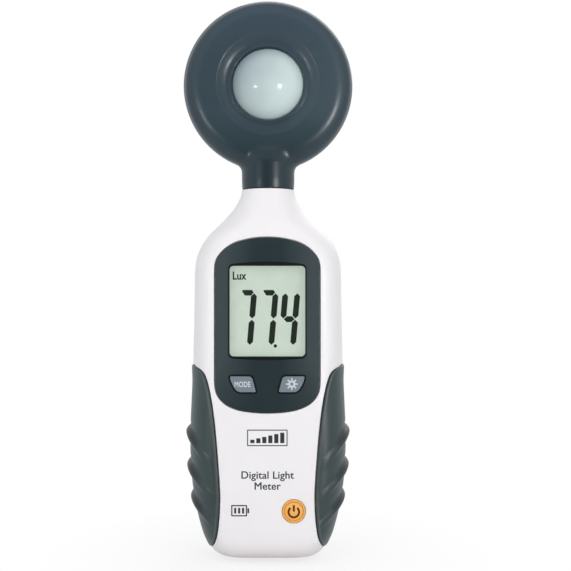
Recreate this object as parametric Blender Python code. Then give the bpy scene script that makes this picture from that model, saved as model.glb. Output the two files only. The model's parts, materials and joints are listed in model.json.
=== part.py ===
"""Handheld light meter: a white two-shell case with rubber side grips, a dark display bezel, three keys, a 9 V battery
behind a tilting door, and a round sensor head that swivels on the neck.

Frame: metres, +Z up along the meter's length, the display faces -Y, +X to the right of the display. The origin is the
centre of the bottom end, midway between the frontmost and rearmost surfaces. Every size below is in millimetres."""

import math

import bmesh
import bpy
from mathutils import Matrix, Vector

for old in list(bpy.data.objects):
    bpy.data.objects.remove(old, do_unlink=True)

# ---------------------------------------------------------------- shared sizes
MM = 0.001
GAP = 0.3               # seam between neighbouring pieces
HALF_GAP = GAP / 2      # each shell's distance from its parting plane
WALL = 2.2              # case wall
JOINT_Z = 135.1         # where the head's neck meets the case
NECK_RADIUS = 9.6       # neck radius at the joint
HEAD_Z = 173.6          # centre of the sensor head
HEAD_RADIUS = 31.3
SHARP_ANGLE = math.radians(32)      # edges steeper than this are shaded sharp

BOARD_Y = (-6.1, -4.5)              # front and rear faces of the main circuit board
BOARD_FRONT_SEAT = BOARD_Y[0] - GAP     # rear ends of the pieces in front of the board
BOARD_REAR_SEAT = BOARD_Y[1] + GAP      # front ends of the pieces behind the board

# ---------------------------------------------------------------- profiles of the case along its length
# Each row is (height, value).
# half width seen from the front, with the grips fitted
WIDTH = [(0, 15.2), (0.45, 16.6), (0.95, 17.5), (1.9, 18.9), (3.1, 20.2), (4.8, 21.4), (7, 22.8),
         (9.2, 23.8), (11.4, 24.5), (15.9, 25.7), (20, 26.6), (26.9, 27.7), (33, 28.25),
         (41, 28.55), (48, 28.5), (55.7, 28.2), (62.3, 27.9), (71.2, 27.6), (80, 27.4),
         (94.8, 27.1), (103, 27.0), (106.6, 26.8), (108.8, 26.5), (111, 25.9), (113.2, 25.0),
         (115.4, 23.8), (117.6, 22.3), (119.8, 20.3), (122, 18.0), (124.3, 15.8), (126.5, 13.8),
         (128.7, 12.2), (130.9, 10.9), (133.1, 10.0), (JOINT_Z, NECK_RADIUS)]
# depth in front of the parting plane
FRONT = [(0, 4.2), (0.15, 5.4), (0.5, 7.2), (1.1, 9.2), (1.9, 11.3), (2.8, 13.0), (4, 14.4),
         (5.6, 15.4), (8, 16.1), (12, 16.35), (25, 16.4), (100, 16.4), (108, 16.35), (112, 16.2),
         (116, 15.8), (119, 15.1), (122, 14.1), (126, 12.5), (130, 10.9), (133, 9.9),
         (JOINT_Z, NECK_RADIUS)]
# depth behind the parting plane
BACK = [(0, 4.2), (0.15, 5.6), (0.5, 7.6), (1.1, 9.9), (1.9, 12.2), (2.8, 14.1), (4, 15.7),
        (5.6, 16.9), (8, 17.6), (11, 17.8), (98, 17.8), (104, 17.6), (109, 17.0), (114, 15.8),
        (119, 14.4), (123, 13.1), (127, 11.7), (131, 10.3), (133.5, 9.75), (JOINT_Z, NECK_RADIUS)]
# how far in from the side the corner rounding reaches
ROUND_X = [(0, 9.0), (10, 10.5), (60, 10.5), (78, 8.6), (106, 8.6), (116, 10.5), (124, 11.5),
           (130, 10.4), (JOINT_Z, NECK_RADIUS)]
# extra bulge along the middle of the front
CROWN = [(0, 0.0), (6, 0.35), (14, 0.7), (108, 0.7), (118, 0.45), (130, 0.0), (JOINT_Z, 0.0)]
# exponent of the corner's superellipse
POWER = [(0, 2.3), (110, 2.3), (128, 2.05), (JOINT_Z, 2.0)]

GRIP_Z = (5.2, 70.6)
GRIP_RAISE = 0.35           # how far the grips stand proud of the bare case
GRIP_FADE_IN = (3.5, 8)     # heights over which the case narrows for the grips
GRIP_FADE_OUT = (64, 71)    # heights over which it widens again
# (height, half width at the grip's front and back edges)
GRIP_EDGE = [(4.4, 20.9), (5.5, 20.2), (7.7, 19.1), (9.9, 18.3), (14.2, 17.6), (20.6, 17.1),
             (25, 17.0), (29.2, 17.2), (33.5, 17.45), (37.8, 17.8), (42, 18.1), (46.3, 18.5),
             (50.6, 18.95), (54.9, 19.5), (59.2, 20.2), (61.3, 20.6), (63.5, 21.1), (65.6, 21.7),
             (67.8, 22.5), (69.3, 23.7), (70.2, 25.2), (70.7, 27.0)]
# (height of the ridge's outer end, how far it stands out)
RIDGES = [(46.5, 1.35), (34.3, 1.25), (22.7, 1.15)]
RIDGE_HALF_WIDTH = 3.0
RIDGE_SLANT = 1.25          # fall of a ridge per millimetre inwards across the front


def curve_at(table, z):
    """Monotone cubic through the table's points."""
    levels = [row[0] for row in table]
    values = [row[1] for row in table]
    last = len(levels) - 1
    if z <= levels[0]:
        return values[0]
    if z >= levels[-1]:
        return values[-1]
    i = max(k for k in range(last) if levels[k] <= z)

    def chord(k):
        return (values[k + 1] - values[k]) / (levels[k + 1] - levels[k])

    def slope(k):
        if k == 0:
            return chord(0)
        if k == last:
            return chord(k - 1)
        below, above = chord(k - 1), chord(k)
        if below * above <= 0:
            return 0.0
        span_below = levels[k] - levels[k - 1]
        span_above = levels[k + 1] - levels[k]
        return (span_below + span_above) * 3 / ((2 * span_above + span_below) / below
                                                + (span_above + 2 * span_below) / above)

    span = levels[i + 1] - levels[i]
    t = (z - levels[i]) / span
    return ((2 * t**3 - 3 * t**2 + 1) * values[i] + (t**3 - 2 * t**2 + t) * span * slope(i)
            + (3 * t**2 - 2 * t**3) * values[i + 1] + (t**3 - t**2) * span * slope(i + 1))


def smoothstep(start, end, x):
    t = min(1.0, max(0.0, (x - start) / (end - start)))
    return t * t * (3 - 2 * t)


def shell_width(z):
    """Half width of the bare case: the grips stand GRIP_RAISE proud of it."""
    fade = smoothstep(*GRIP_FADE_IN, z) * (1 - smoothstep(*GRIP_FADE_OUT, z))
    return curve_at(WIDTH, z) - GRIP_RAISE * fade


def case_point(z, angle, grow=0.0):
    """A point of the case's skin: angle 0 is the right side, 90 the front, 180 the left,
    -90 the back (degrees)."""
    width = shell_width(z) + grow
    front = math.sin(math.radians(angle)) >= 0
    depth = curve_at(FRONT if front else BACK, z) + grow
    corner = min(curve_at(ROUND_X, z) + grow, width)
    power = curve_at(POWER, z)
    x = width * math.cos(math.radians(angle))
    inward = min(1.0, max(0.0, (width - abs(x)) / corner))
    y = depth * max(0.0, 1 - (1 - inward) ** power) ** (1 / power)
    if front:
        y += curve_at(CROWN, z) * (1 - (x / width) ** 2)
    return Vector((x, -y if front else y, z))


def case_normal(z, angle):
    """Outward normal of the case's skin, from small steps round and along it."""
    turn, rise = 0.4, 0.05
    around = case_point(z, angle + turn) - case_point(z, angle - turn)
    along = case_point(min(z + rise, JOINT_Z), angle) - case_point(max(z - rise, 0), angle)
    return along.cross(around).normalized()


# ---------------------------------------------------------------- materials
def material(name, colour, roughness, metallic=0.0):
    mat = bpy.data.materials.get(name) or bpy.data.materials.new(name)
    mat.use_nodes = True
    shader = mat.node_tree.nodes["Principled BSDF"]
    shader.inputs["Base Color"].default_value = (*colour, 1)
    shader.inputs["Roughness"].default_value = roughness
    shader.inputs["Metallic"].default_value = metallic
    mat.diffuse_color = (*colour, 1)
    return mat


WHITE = material("white_abs", colour=(0.86, 0.84, 0.85), roughness=0.42)
DARK = material("dark_abs", colour=(0.040, 0.068, 0.084), roughness=0.38)
RUBBER = material("grip_rubber", colour=(0.050, 0.070, 0.068), roughness=0.62)
BEZEL = material("bezel_abs", colour=(0.055, 0.078, 0.092), roughness=0.40)
KEY_GREY = material("key_grey", colour=(0.20, 0.25, 0.29), roughness=0.45)
ORANGE = material("key_orange", colour=(0.86, 0.42, 0.09), roughness=0.40)
OPAL = material("opal_dome", colour=(0.72, 0.80, 0.79), roughness=0.16)
CLEAR = material("clear_window", colour=(0.80, 0.85, 0.82), roughness=0.05)
LCD = material("lcd_glass", colour=(0.58, 0.66, 0.56), roughness=0.25)
NATURAL = material("natural_plastic", colour=(0.75, 0.76, 0.74), roughness=0.5)
PCB = material("pcb_green", colour=(0.02, 0.16, 0.07), roughness=0.45)
BLACK = material("black_plastic", colour=(0.02, 0.02, 0.02), roughness=0.5)
STEEL = material("steel", colour=(0.55, 0.55, 0.56), roughness=0.3, metallic=1.0)
POM = material("swivel_pom", colour=(0.05, 0.05, 0.055), roughness=0.35)
FILTER = material("filter_glass", colour=(0.12, 0.45, 0.20), roughness=0.05)
RED = material("wire_red", colour=(0.55, 0.02, 0.02), roughness=0.45)
BATTERY = material("battery_wrap", colour=(0.03, 0.03, 0.035), roughness=0.35)


# ---------------------------------------------------------------- mesh helpers
def shade(mesh):
    mesh.shade_smooth()
    mesh.set_sharp_from_angle(angle=SHARP_ANGLE)


def make(name, points, faces, mat, smooth=True):
    mesh = bpy.data.meshes.new(name)
    mesh.from_pydata([tuple(c * MM for c in point) for point in points], [], faces)
    bm = bmesh.new()
    bm.from_mesh(mesh)
    bmesh.ops.remove_doubles(bm, verts=bm.verts, dist=1e-7)
    bmesh.ops.recalc_face_normals(bm, faces=bm.faces)
    bm.to_mesh(mesh)
    bm.free()
    mesh.materials.append(mat)
    piece = bpy.data.objects.new(name, mesh)
    bpy.context.scene.collection.objects.link(piece)
    if smooth:
        shade(mesh)
    return piece


def box(name, x_span, y_span, z_span, mat):
    points = [(x, y, z) for x in x_span for y in y_span for z in z_span]
    faces = [(0, 1, 3, 2), (4, 6, 7, 5), (0, 4, 5, 1), (2, 3, 7, 6), (0, 2, 6, 4), (1, 5, 7, 3)]
    return make(name, points, faces, mat, smooth=False)


def extrude(name, first, second, mat):
    """A flat-shaded solid between two matching closed outlines of points."""
    count = len(first)
    faces = [tuple(range(count)), tuple(range(2 * count - 1, count - 1, -1))]
    for i in range(count):
        after = (i + 1) % count
        faces.append((i, after, count + after, count + i))
    return make(name, first + second, faces, mat, smooth=False)


def prism(name, outline, y_span, mat):
    """An (x, z) outline drawn along Y."""
    first, second = ([(x, y, z) for x, z in outline] for y in y_span)
    return extrude(name, first, second, mat)


def lathe(name, profile, origin, axis, mat, sides=24, start=0.0):
    """Turns a closed profile of (radius, distance along the axis) round the axis. Points with
    radius 0 lie on it."""
    along = "xyz".index(axis[-1])
    sign = -1 if axis[0] == "-" else 1
    across, up = [(1, 2), (2, 0), (0, 1)][along]
    points, rings = [], []
    for radius, distance in profile:
        ring = []
        for k in range(sides if radius > 1e-6 else 1):
            turn = start + 2 * math.pi * k / sides
            point = [0, 0, 0]
            point[along] = origin[along] + sign * distance
            point[across] = origin[across] + radius * math.cos(turn)
            point[up] = origin[up] + radius * math.sin(turn)
            ring.append(len(points))
            points.append(point)
        rings.append(ring)
    faces = []
    for ring, after in zip(rings, rings[1:] + rings[:1]):
        if len(ring) == 1 and len(after) == 1:
            continue
        for k in range(sides):
            m = (k + 1) % sides
            if len(ring) == 1:
                faces.append((ring[0], after[m], after[k]))
            elif len(after) == 1:
                faces.append((ring[k], ring[m], after[0]))
            else:
                faces.append((ring[k], ring[m], after[m], after[k]))
    return make(name, points, faces, mat)


def cylinder(name, radius, span, origin, axis, mat, sides=24, start=0.0):
    low, high = span
    profile = [(0, low), (radius, low), (radius, high), (0, high)]
    return lathe(name, profile, origin, axis, mat, sides, start)


def ring(name, radii, span, origin, axis, mat, sides):
    """A flat-ended ring between two radii."""
    inner, outer = radii
    low, high = span
    profile = [(inner, low), (inner, high), (outer, high), (outer, low)]
    return lathe(name, profile, origin, axis, mat, sides)


def rod(name, radius, x, z, y_span, mat, sides):
    """A round bar along Y, turned a little so its corners miss those of its neighbours."""
    return cylinder(name, radius, y_span, (x, 0, z), "y", mat, sides, start=0.13)


def tube(name, path, radius, mat, steps, sides=8):
    """A round wire through the path's points, smoothed by Catmull-Rom."""
    knots = [Vector(point) for point in path]
    last = len(knots) - 1
    line = []
    for i in range(last):
        before, here, there, beyond = (knots[max(i - 1, 0)], knots[i], knots[i + 1],
                                       knots[min(i + 2, last)])
        for k in range(steps):
            t = k / steps
            line.append(0.5 * (2 * here + (there - before) * t
                               + (2 * before - 5 * here + 4 * there - beyond) * t * t
                               + (3 * here - before - 3 * there + beyond) * t**3))
    line.append(knots[-1])
    points, rows = [], []
    for i, centre in enumerate(line):
        heading = (line[min(i + 1, len(line) - 1)] - line[max(i - 1, 0)]).normalized()
        up = heading.cross(Vector((1, 0, 0))).normalized()
        sideways = up.cross(heading).normalized()
        rows.append([len(points) + k for k in range(sides)])
        for k in range(sides):
            turn = 2 * math.pi * k / sides
            points.append(centre + radius * (math.cos(turn) * sideways + math.sin(turn) * up))
    faces = [tuple(rows[0]), tuple(rows[-1][::-1])]
    for row, after in zip(rows, rows[1:]):
        for k in range(sides):
            m = (k + 1) % sides
            faces.append((row[k], row[m], after[m], after[k]))
    return make(name, points, faces, mat)


def half_shell(name, outer, inner, mat):
    """A shell between two lists of rows of points. Row 0 is the closed end and the last row the
    open one. Each row runs across the skin from one parting edge to the other."""
    rows, cols = len(outer), len(outer[0])
    points = [point for row in outer + inner for point in row]

    def out(i, j):
        return i * cols + j

    def inn(i, j):
        return (rows + i) * cols + j

    faces = []
    for i in range(rows - 1):
        for j in range(cols - 1):
            faces.append((out(i, j), out(i, j + 1), out(i + 1, j + 1), out(i + 1, j)))
            faces.append((inn(i, j), inn(i + 1, j), inn(i + 1, j + 1), inn(i, j + 1)))
        for j in (0, cols - 1):
            faces.append((out(i, j), out(i + 1, j), inn(i + 1, j), inn(i, j)))
    top = rows - 1
    for j in range(cols - 1):
        faces.append((out(top, j), out(top, j + 1), inn(top, j + 1), inn(top, j)))
    faces.append((out(0, 0), inn(0, 0), inn(0, cols - 1), out(0, cols - 1)))
    faces.append(tuple(out(0, j) for j in range(cols)))
    faces.append(tuple(inn(0, j) for j in range(cols)))
    return make(name, points, faces, mat)


def slab(name, upper, lower, mat):
    """A closed solid between two grids of points."""
    rows, cols = len(upper), len(upper[0])
    points = [point for row in upper + lower for point in row]

    def top(i, j):
        return i * cols + j

    def low(i, j):
        return (rows + i) * cols + j

    faces = []
    for i in range(rows - 1):
        for j in range(cols - 1):
            faces.append((top(i, j), top(i, j + 1), top(i + 1, j + 1), top(i + 1, j)))
            faces.append((low(i, j), low(i + 1, j), low(i + 1, j + 1), low(i, j + 1)))
        j = cols - 1
        faces.append((top(i, 0), top(i + 1, 0), low(i + 1, 0), low(i, 0)))
        faces.append((top(i, j), low(i, j), low(i + 1, j), top(i + 1, j)))
    i = rows - 1
    for j in range(cols - 1):
        faces.append((top(0, j), low(0, j), low(0, j + 1), top(0, j + 1)))
        faces.append((top(i, j), top(i, j + 1), low(i, j + 1), low(i, j)))
    return make(name, points, faces, mat)


def evaluated_mesh(piece):
    """A new mesh with the piece's modifiers applied."""
    bpy.context.view_layer.update()
    graph = bpy.context.evaluated_depsgraph_get()
    return bpy.data.meshes.new_from_object(piece.evaluated_get(graph))


def weld_slivers(mesh):
    """Welds the slivers along a cut, more gently where a strong weld would tear the surface."""
    for distance in (2e-6, 1e-6, 3e-7):
        bm = bmesh.new()
        bm.from_mesh(mesh)
        bmesh.ops.remove_doubles(bm, verts=bm.verts, dist=distance)
        bmesh.ops.dissolve_degenerate(bm, edges=bm.edges, dist=distance / 2)
        accepted = all(len(edge.link_faces) == 2 for edge in bm.edges) or distance < 1e-6
        if accepted:
            bm.to_mesh(mesh)
        bm.free()
        if accepted:
            return


def combine(target, other, operation):
    """Applies one exact Boolean and removes the helper."""
    modifier = target.modifiers.new("boolean", "BOOLEAN")
    modifier.operation = operation
    modifier.solver = "EXACT"
    modifier.object = other
    mesh = evaluated_mesh(target)
    target.modifiers.remove(modifier)
    weld_slivers(mesh)
    shade(mesh)
    target.data = mesh
    bpy.data.objects.remove(other, do_unlink=True)


def cut(target, *cutters):
    for cutter in cutters:
        combine(target, cutter, "DIFFERENCE")


def join(target, *others):
    for other in others:
        combine(target, other, "UNION")


# ---------------------------------------------------------------- outlines in the (x, z) plane
def mirrored(outline):
    """The outline on the other side of x = 0, in reverse order."""
    return [(-x, z) for x, z in reversed(outline)]


def grown(outline, distance):
    """The outline moved outwards by a distance."""
    after = outline[1:] + outline[:1]
    area = sum(x * next_z - next_x * z for (x, z), (next_x, next_z) in zip(outline, after))
    sign = 1 if area > 0 else -1
    result = []
    for i in range(len(outline)):
        previous, corner, following = Vector(outline[i - 1]), Vector(outline[i]), Vector(after[i])
        edge_in = (corner - previous).normalized()
        edge_out = (following - corner).normalized()
        normal_in = Vector((edge_in.y, -edge_in.x)) * sign
        normal_out = Vector((edge_out.y, -edge_out.x)) * sign
        mitre = (normal_in + normal_out).normalized()
        result.append(tuple(corner + mitre * (distance / max(mitre.dot(normal_in), 0.4))))
    return result


def rounded_rect(half_width, z_low, z_high, radius, steps=3):
    right, left = half_width - radius, -half_width + radius
    top, bottom = z_high - radius, z_low + radius
    points = []
    for x, z, start in ((right, top, 0), (left, top, 90), (left, bottom, 180), (right, bottom, 270)):
        for k in range(steps + 1):
            turn = math.radians(start + 90 * k / steps)
            points.append((x + radius * math.cos(turn), z + radius * math.sin(turn)))
    return points


# ---------------------------------------------------------------- screws
# Sizes of the pan-head screws; all lie along Y with their heads towards +Y.
CASE_SCREW = dict(length=15.5, head_radius=2.5, shank_radius=1.2, head_height=1.8)
PCB_SCREW = dict(length=7.5, head_radius=1.9, shank_radius=0.9, head_height=1.2)
HEAD_SCREW = dict(length=7.9, head_radius=2.0, shank_radius=0.9, head_height=1.4)
CASE_SCREW_HOLE = CASE_SCREW["shank_radius"] + GAP
PCB_SCREW_HOLE = PCB_SCREW["shank_radius"] + GAP
HEAD_SCREW_HOLE = HEAD_SCREW["shank_radius"] + GAP
CASE_SCREW_SEAT = 7.2       # y of the counterbore's floor in the rear case
HEAD_SCREW_SEAT = 4.4       # y of the counterbore's floor in the head's rear shell

# (x, z) of each screw
CASE_SCREWS = [(-19.6, 100.0), (19.6, 100.0), (-11.0, 8.7), (11.0, 8.7)]
PCB_SCREWS = [(-18.4, 86.0), (18.4, 86.0)]
HEAD_SCREW_CIRCLE = 24.0
HEAD_SCREWS = [(HEAD_SCREW_CIRCLE * math.cos(math.radians(angle)),
                HEAD_Z + HEAD_SCREW_CIRCLE * math.sin(math.radians(angle)))
               for angle in (90, 210, 330)]


def screw(name, x, z, seat, length, head_radius, shank_radius, head_height):
    """A screw with a cross recess; seat is the y of the head's underside."""
    top, tip = seat + head_height, seat - length
    profile = [(0, top), (head_radius * 0.8, top), (head_radius, seat + head_height * 0.6),
               (head_radius, seat), (shank_radius, seat), (shank_radius, tip + 1.2), (0.2, tip),
               (0, tip)]
    body = lathe(name, profile, (x, 0, z), "y", STEEL, 12)
    reach, half_slot, floor = head_radius * 0.55, 0.28, seat + head_height * 0.35
    # the second bar's ends are offset so that no faces coincide
    cross = box("bar_x", (x - reach, x + reach), (floor, seat + 5),
                (z - half_slot, z + half_slot), STEEL)
    join(cross, box("bar_z", (x - half_slot, x + half_slot), (floor - 0.05, seat + 5.1),
                    (z - reach, z + reach), STEEL))
    cut(body, cross)


def build_screws():
    for prefix, places, seat, sizes in (
            ("case_screw", CASE_SCREWS, CASE_SCREW_SEAT + GAP, CASE_SCREW),
            ("pcb_screw", PCB_SCREWS, BOARD_REAR_SEAT, PCB_SCREW),
            ("head_screw", HEAD_SCREWS, HEAD_SCREW_SEAT + GAP, HEAD_SCREW)):
        for i, (x, z) in enumerate(places, 1):
            screw(f"{prefix}_{i}", x, z, seat, **sizes)


# ---------------------------------------------------------------- side grips
def ridge_lift(z, angle, inward):
    """How far the ridges lift the grip; inward is the distance in from the case's side."""
    lift = 0.0
    for ridge_z, height in RIDGES:
        centre = ridge_z - (inward * RIDGE_SLANT if angle > 0 else 0)
        offset = (z - centre) / RIDGE_HALF_WIDTH
        if abs(offset) < 1:
            if angle > 0:
                fade = 1 - smoothstep(2.0, 8.6, inward)
            else:
                fade = 1 - smoothstep(-3, -28, angle)
            lift += height * math.cos(offset * math.pi / 2) ** 2 * fade
    return lift


def grip_skin(side, height, z_span, widen, rows, shaped=False):
    """Rows of points of a grip's skin, from its front edge round the side to its back edge.
    A shaped skin has the ridges and sinks just below the case's skin towards the back."""
    cols = 8
    low, high = z_span
    skin = []
    for i in range(rows + 1):
        z = low + (high - low) * (0.5 - 0.5 * math.cos(math.pi * i / rows))
        width = shell_width(z)
        edge = curve_at(GRIP_EDGE, min(max(z, GRIP_Z[0]), GRIP_Z[1])) - widen
        limit = math.degrees(math.acos(min(edge, width * 0.985) / width))
        row = []
        for j in range(cols + 1):
            angle = limit * (1 - 2 * j / cols)
            point = case_point(z, angle)
            lift = height
            if shaped:
                lift -= (height + 0.05) * smoothstep(-22, -50, angle)
                lift += ridge_lift(z, angle, width - point.x)
            point = point + case_normal(z, angle) * lift
            row.append(Vector((point.x * side, point.y, point.z)))
        skin.append(row)
    return skin


def build_grips():
    rows = 26
    for side, name in ((1, "right_grip"), (-1, "left_grip")):
        slab(name, grip_skin(side, GRIP_RAISE, GRIP_Z, 0, rows, shaped=True),
             grip_skin(side, -1.0, GRIP_Z, 0, rows), RUBBER)


def cut_grip_seats(shell):
    rows = 23
    z_span = (GRIP_Z[0] - GAP, GRIP_Z[1] + 1.5 * GAP)
    for side in (1, -1):
        cut(shell, slab("seat", grip_skin(side, 3.0, z_span, 1.5 * GAP, rows),
                        grip_skin(side, -1.38, z_span, GAP, rows), RUBBER))


# ---------------------------------------------------------------- display bezel
# right half of the outline (x, z), from the top centre to the bottom centre
BEZEL_HALF = [(0, 116.9), (4.8, 116.6), (9.1, 115.65), (11.2, 115.0), (13.3, 113.95),
              (15.4, 112.4), (17.4, 110.2), (18.35, 108.2), (18.65, 106.0), (18.65, 64.8),
              (18.3, 62.2), (17.4, 60.1), (15.4, 57.9), (13.3, 56.7), (11.2, 55.85),
              (9.1, 55.3), (4.8, 54.7), (0, 54.5)]
BEZEL_BACK = -15.7
BEZEL_RAISE = 0.25          # how far the bezel stands in front of the case
BEZEL_LEVELS = [40, 50, 56, 62, 72, 84, 96, 104, 108, 111, 113, 115, 117, 119, 123]
WINDOW = (13.5, 74.4, 106.7)     # half width, bottom and top of the display opening

# (x, z) outline of the key to the left below the display; the backlight key mirrors it
MODE_KEY = [(-13.3, 67.5), (-5.6, 67.5), (-4.1, 61.9), (-9.9, 61.9), (-11.2, 62.6),
            (-12.3, 64.4), (-13.0, 66.1)]
BACKLIGHT_KEY = mirrored(MODE_KEY)


def bezel_outline(grow=0.0):
    """Closed outline of the bezel: straight sides, arched top and bottom."""
    half = []
    last = len(BEZEL_HALF) - 1
    for i, (x, z) in enumerate(BEZEL_HALF):
        if i == 0:
            normal = Vector((0, 1))
        elif i == last:
            normal = Vector((0, -1))
        else:
            before, after = BEZEL_HALF[i - 1], BEZEL_HALF[i + 1]
            normal = Vector((before[1] - after[1], after[0] - before[0])).normalized()
        half.append((x + normal.x * grow, z + normal.y * grow))
    return half + mirrored(half[1:-1])


def bezel_form():
    """The case's front skin moved forward, as a closed solid for shaping the bezel."""
    skin = []
    for z in BEZEL_LEVELS:
        row = [case_point(z, angle) for angle in range(20, 161, 10)]
        skin.append([Vector((point.x, point.y - BEZEL_RAISE, point.z)) for point in row])
    back = [[Vector((point.x, -10.0, point.z)) for point in row] for row in skin]
    return slab("form", skin, back, BEZEL)


def build_bezel():
    bezel = prism("display_bezel", bezel_outline(), (-30, BEZEL_BACK), BEZEL)
    combine(bezel, bezel_form(), "INTERSECT")
    openings = [rounded_rect(*WINDOW, 1.2), grown(MODE_KEY, GAP), grown(BACKLIGHT_KEY, GAP)]
    cut(bezel, *[prism("opening", outline, (-30, -10), BEZEL) for outline in openings])


def build_display():
    prism("lcd_window", rounded_rect(15.2, 72.4, 108.6, 1.0, 2), (-15.0, -14.0), CLEAR)
    prism("lcd_panel", rounded_rect(14.5, 73.1, 107.9, 0.4, 1), (-13.4, -10.7), LCD)
    box("backlight_panel", (-14.5, 14.5), (-10.4, -8.2), (76.2, 107.9), NATURAL)
    box("zebra_strip", (-12.5, 12.5), (-10.4, BOARD_FRONT_SEAT), (73.3, 75.6), BLACK)
    frame = box("lcd_frame", (-16.2, 16.2), (-13.7, BOARD_FRONT_SEAT), (71.2, 109.8), NATURAL)
    cut(frame, box("inside", (-14.8, 14.8), (-20, 0), (72.8, 108.2), NATURAL))


# ---------------------------------------------------------------- keys and their switches
SMALL_KEY_X, SMALL_KEY_Z = 8.6, 64.8    # stems of the mode (-x) and backlight (+x) keys
SMALL_KEY_FRONT = -17.75
POWER_KEY_X, POWER_KEY_Z = 9.4, 19.6
POWER_KEY_RADIUS = 4.1
POWER_KEY_FRONT = -17.55
KEY_FLANGE = 0.9
KEY_STEM_RADIUS = 1.6
PLUNGER_Y = (-10.7, -9.3)
KEY_STEM_END = PLUNGER_Y[0] - GAP
SWITCH_HALF = 3


def build_switch(kind, x, z):
    body = box(kind + "_switch", (x - SWITCH_HALF, x + SWITCH_HALF), (-9.9, BOARD_FRONT_SEAT),
               (z - SWITCH_HALF, z + SWITCH_HALF), BLACK)
    cut(body, rod("well", 2.0, x, z, (-12, -8.6), BLACK, 12))
    rod(kind + "_switch_plunger", 1.7, x, z, PLUNGER_Y, BLACK, 12)


def build_small_key(kind, outline, x):
    key = prism(kind + "_key", outline, (SMALL_KEY_FRONT, -14.4), KEY_GREY)
    join(key, prism("flange", grown(outline, KEY_FLANGE), (-15.3, -14.3), KEY_GREY),
         rod("stem", KEY_STEM_RADIUS, x, SMALL_KEY_Z, (-14.6, KEY_STEM_END), KEY_GREY, 12))
    build_switch(kind, x, SMALL_KEY_Z)


def build_power_key():
    front, radius = POWER_KEY_FRONT, POWER_KEY_RADIUS
    flange = radius + KEY_FLANGE
    # (radius, y)
    profile = [(0, front), (radius - 0.35, front), (radius, front + 0.3), (radius, -13.9),
               (flange, -13.9), (flange, -13.1), (KEY_STEM_RADIUS, -13.1),
               (KEY_STEM_RADIUS, KEY_STEM_END), (0, KEY_STEM_END)]
    lathe("power_key", profile, (POWER_KEY_X, 0, POWER_KEY_Z), "y", ORANGE)
    build_switch("power", POWER_KEY_X, POWER_KEY_Z)


# ---------------------------------------------------------------- circuit board and what sits on it
# right half of the board's outline (x, z), from the bottom up, with the ear for its screw
BOARD_HALF = [(17, 14.5), (17, 80.5), (20.4, 80.5), (20.4, 91.5), (16.2, 91.5), (16.2, 112)]


def build_main_board():
    board = prism("main_pcb", BOARD_HALF + mirrored(BOARD_HALF), BOARD_Y, PCB)
    cut(board, *[rod("hole", PCB_SCREW_HOLE, x, z, (-10, 0), PCB, 12) for x, z in PCB_SCREWS])


def build_board_parts():
    seat = BOARD_REAR_SEAT
    # a low rounded blob: (radius, y)
    blob = [(0, seat), (5.2, seat), (4.6, -3.3), (2.6, -2.7), (0, -2.5)]
    lathe("meter_chip", blob, (-3, 0, 93), "y", BLACK, 16)
    box("amplifier_chip", (6.5, 11.5), (seat, -2.6), (98, 102), BLACK)
    box("calibration_trimmer", (-12.5, -8.5), (seat, -1.9), (102, 106), NATURAL)
    cylinder("filter_capacitor", 2.4, (0, 5.6), (11.5, -1.6, 85.0), "z", BLACK, 14)
    box("sensor_connector", (-4, 4), (seat, -1.2), (104, 110), NATURAL)


# ---------------------------------------------------------------- case shells
CASE_LEVELS = [0, 0.4, 1, 2.2, 4.4, 7.6, 12, 20, 30, 44, 58, 72, 90, 104, 109, 113, 117, 120,
               123, 126, 129, 132, JOINT_Z - HALF_GAP]
CASE_ANGLES = [0, 8, 17, 27, 37, 48, 62, 78, 90, 102, 118, 132, 143, 153, 163, 172, 180]
FOOT_EXTRA = 1.5            # extra wall round the foot
HUB_FLANGE_Z = (120.8, 122.4)       # the swivel hub's lower flange, level with its stop rib

BOX_HALF_WIDTH = 15.6       # battery compartment, outside
BOX_Z = (14.4, 71.2)
BOX_WALL = 1.4              # its sides and ends
DOOR_HALF_WIDTH = 15.0
DOOR_TOP = 66.0
HINGE_Y, HINGE_Z = 16.55, 16.6      # the door's pivot
HINGE_RADIUS = 1.15


def case_rows(front, inset):
    """Rows of points of a case skin, moved in from the outside by the inset."""
    rows = []
    top = JOINT_Z - HALF_GAP
    for level in CASE_LEVELS:
        z, thickness = level, 0
        if inset:
            z = inset + level * (top - inset) / top
            thickness = inset + FOOT_EXTRA * (1 - smoothstep(3.5, 9, z))
        row = []
        for angle in CASE_ANGLES:
            point = case_point(z, angle if front else -angle, -thickness)
            point.y = min(point.y, -HALF_GAP) if front else max(point.y, HALF_GAP)
            row.append(point)
        rows.append(row)
    return rows


def case_shell(name, front):
    shell = half_shell(name, case_rows(front, 0), case_rows(front, WALL), WHITE)
    cut_grip_seats(shell)
    return shell


def build_front_case():
    shell = case_shell("front_case", True)
    cut(shell, prism("rebate", bezel_outline(GAP), (-30, BEZEL_BACK + GAP), WHITE),
        prism("through", bezel_outline(-2.0), (-16, -10), WHITE))
    cut(shell, rod("key_hole", POWER_KEY_RADIUS + GAP, POWER_KEY_X, POWER_KEY_Z, (-25, -10),
                   WHITE, 24))
    for x, z in CASE_SCREWS:
        boss_front = -14.4 if z < 50 else -12.9
        join(shell, rod("boss", 2.9, x, z, (boss_front, -0.4), WHITE, 14))
        cut(shell, rod("hole", CASE_SCREW_HOLE, x, z, (-9.5, 5), WHITE, 12))
    for x, z in PCB_SCREWS:
        join(shell, rod("boss", 2.2, x, z, (-14.8, BOARD_FRONT_SEAT), WHITE, 12))
        cut(shell, rod("hole", PCB_SCREW_HOLE, x, z, (-12.3, -5), WHITE, 12))
    # stop rib for the swivel
    join(shell, box("stop", (-4.6, 4.6), (-13.2, -8.7), HUB_FLANGE_Z, WHITE))


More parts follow.
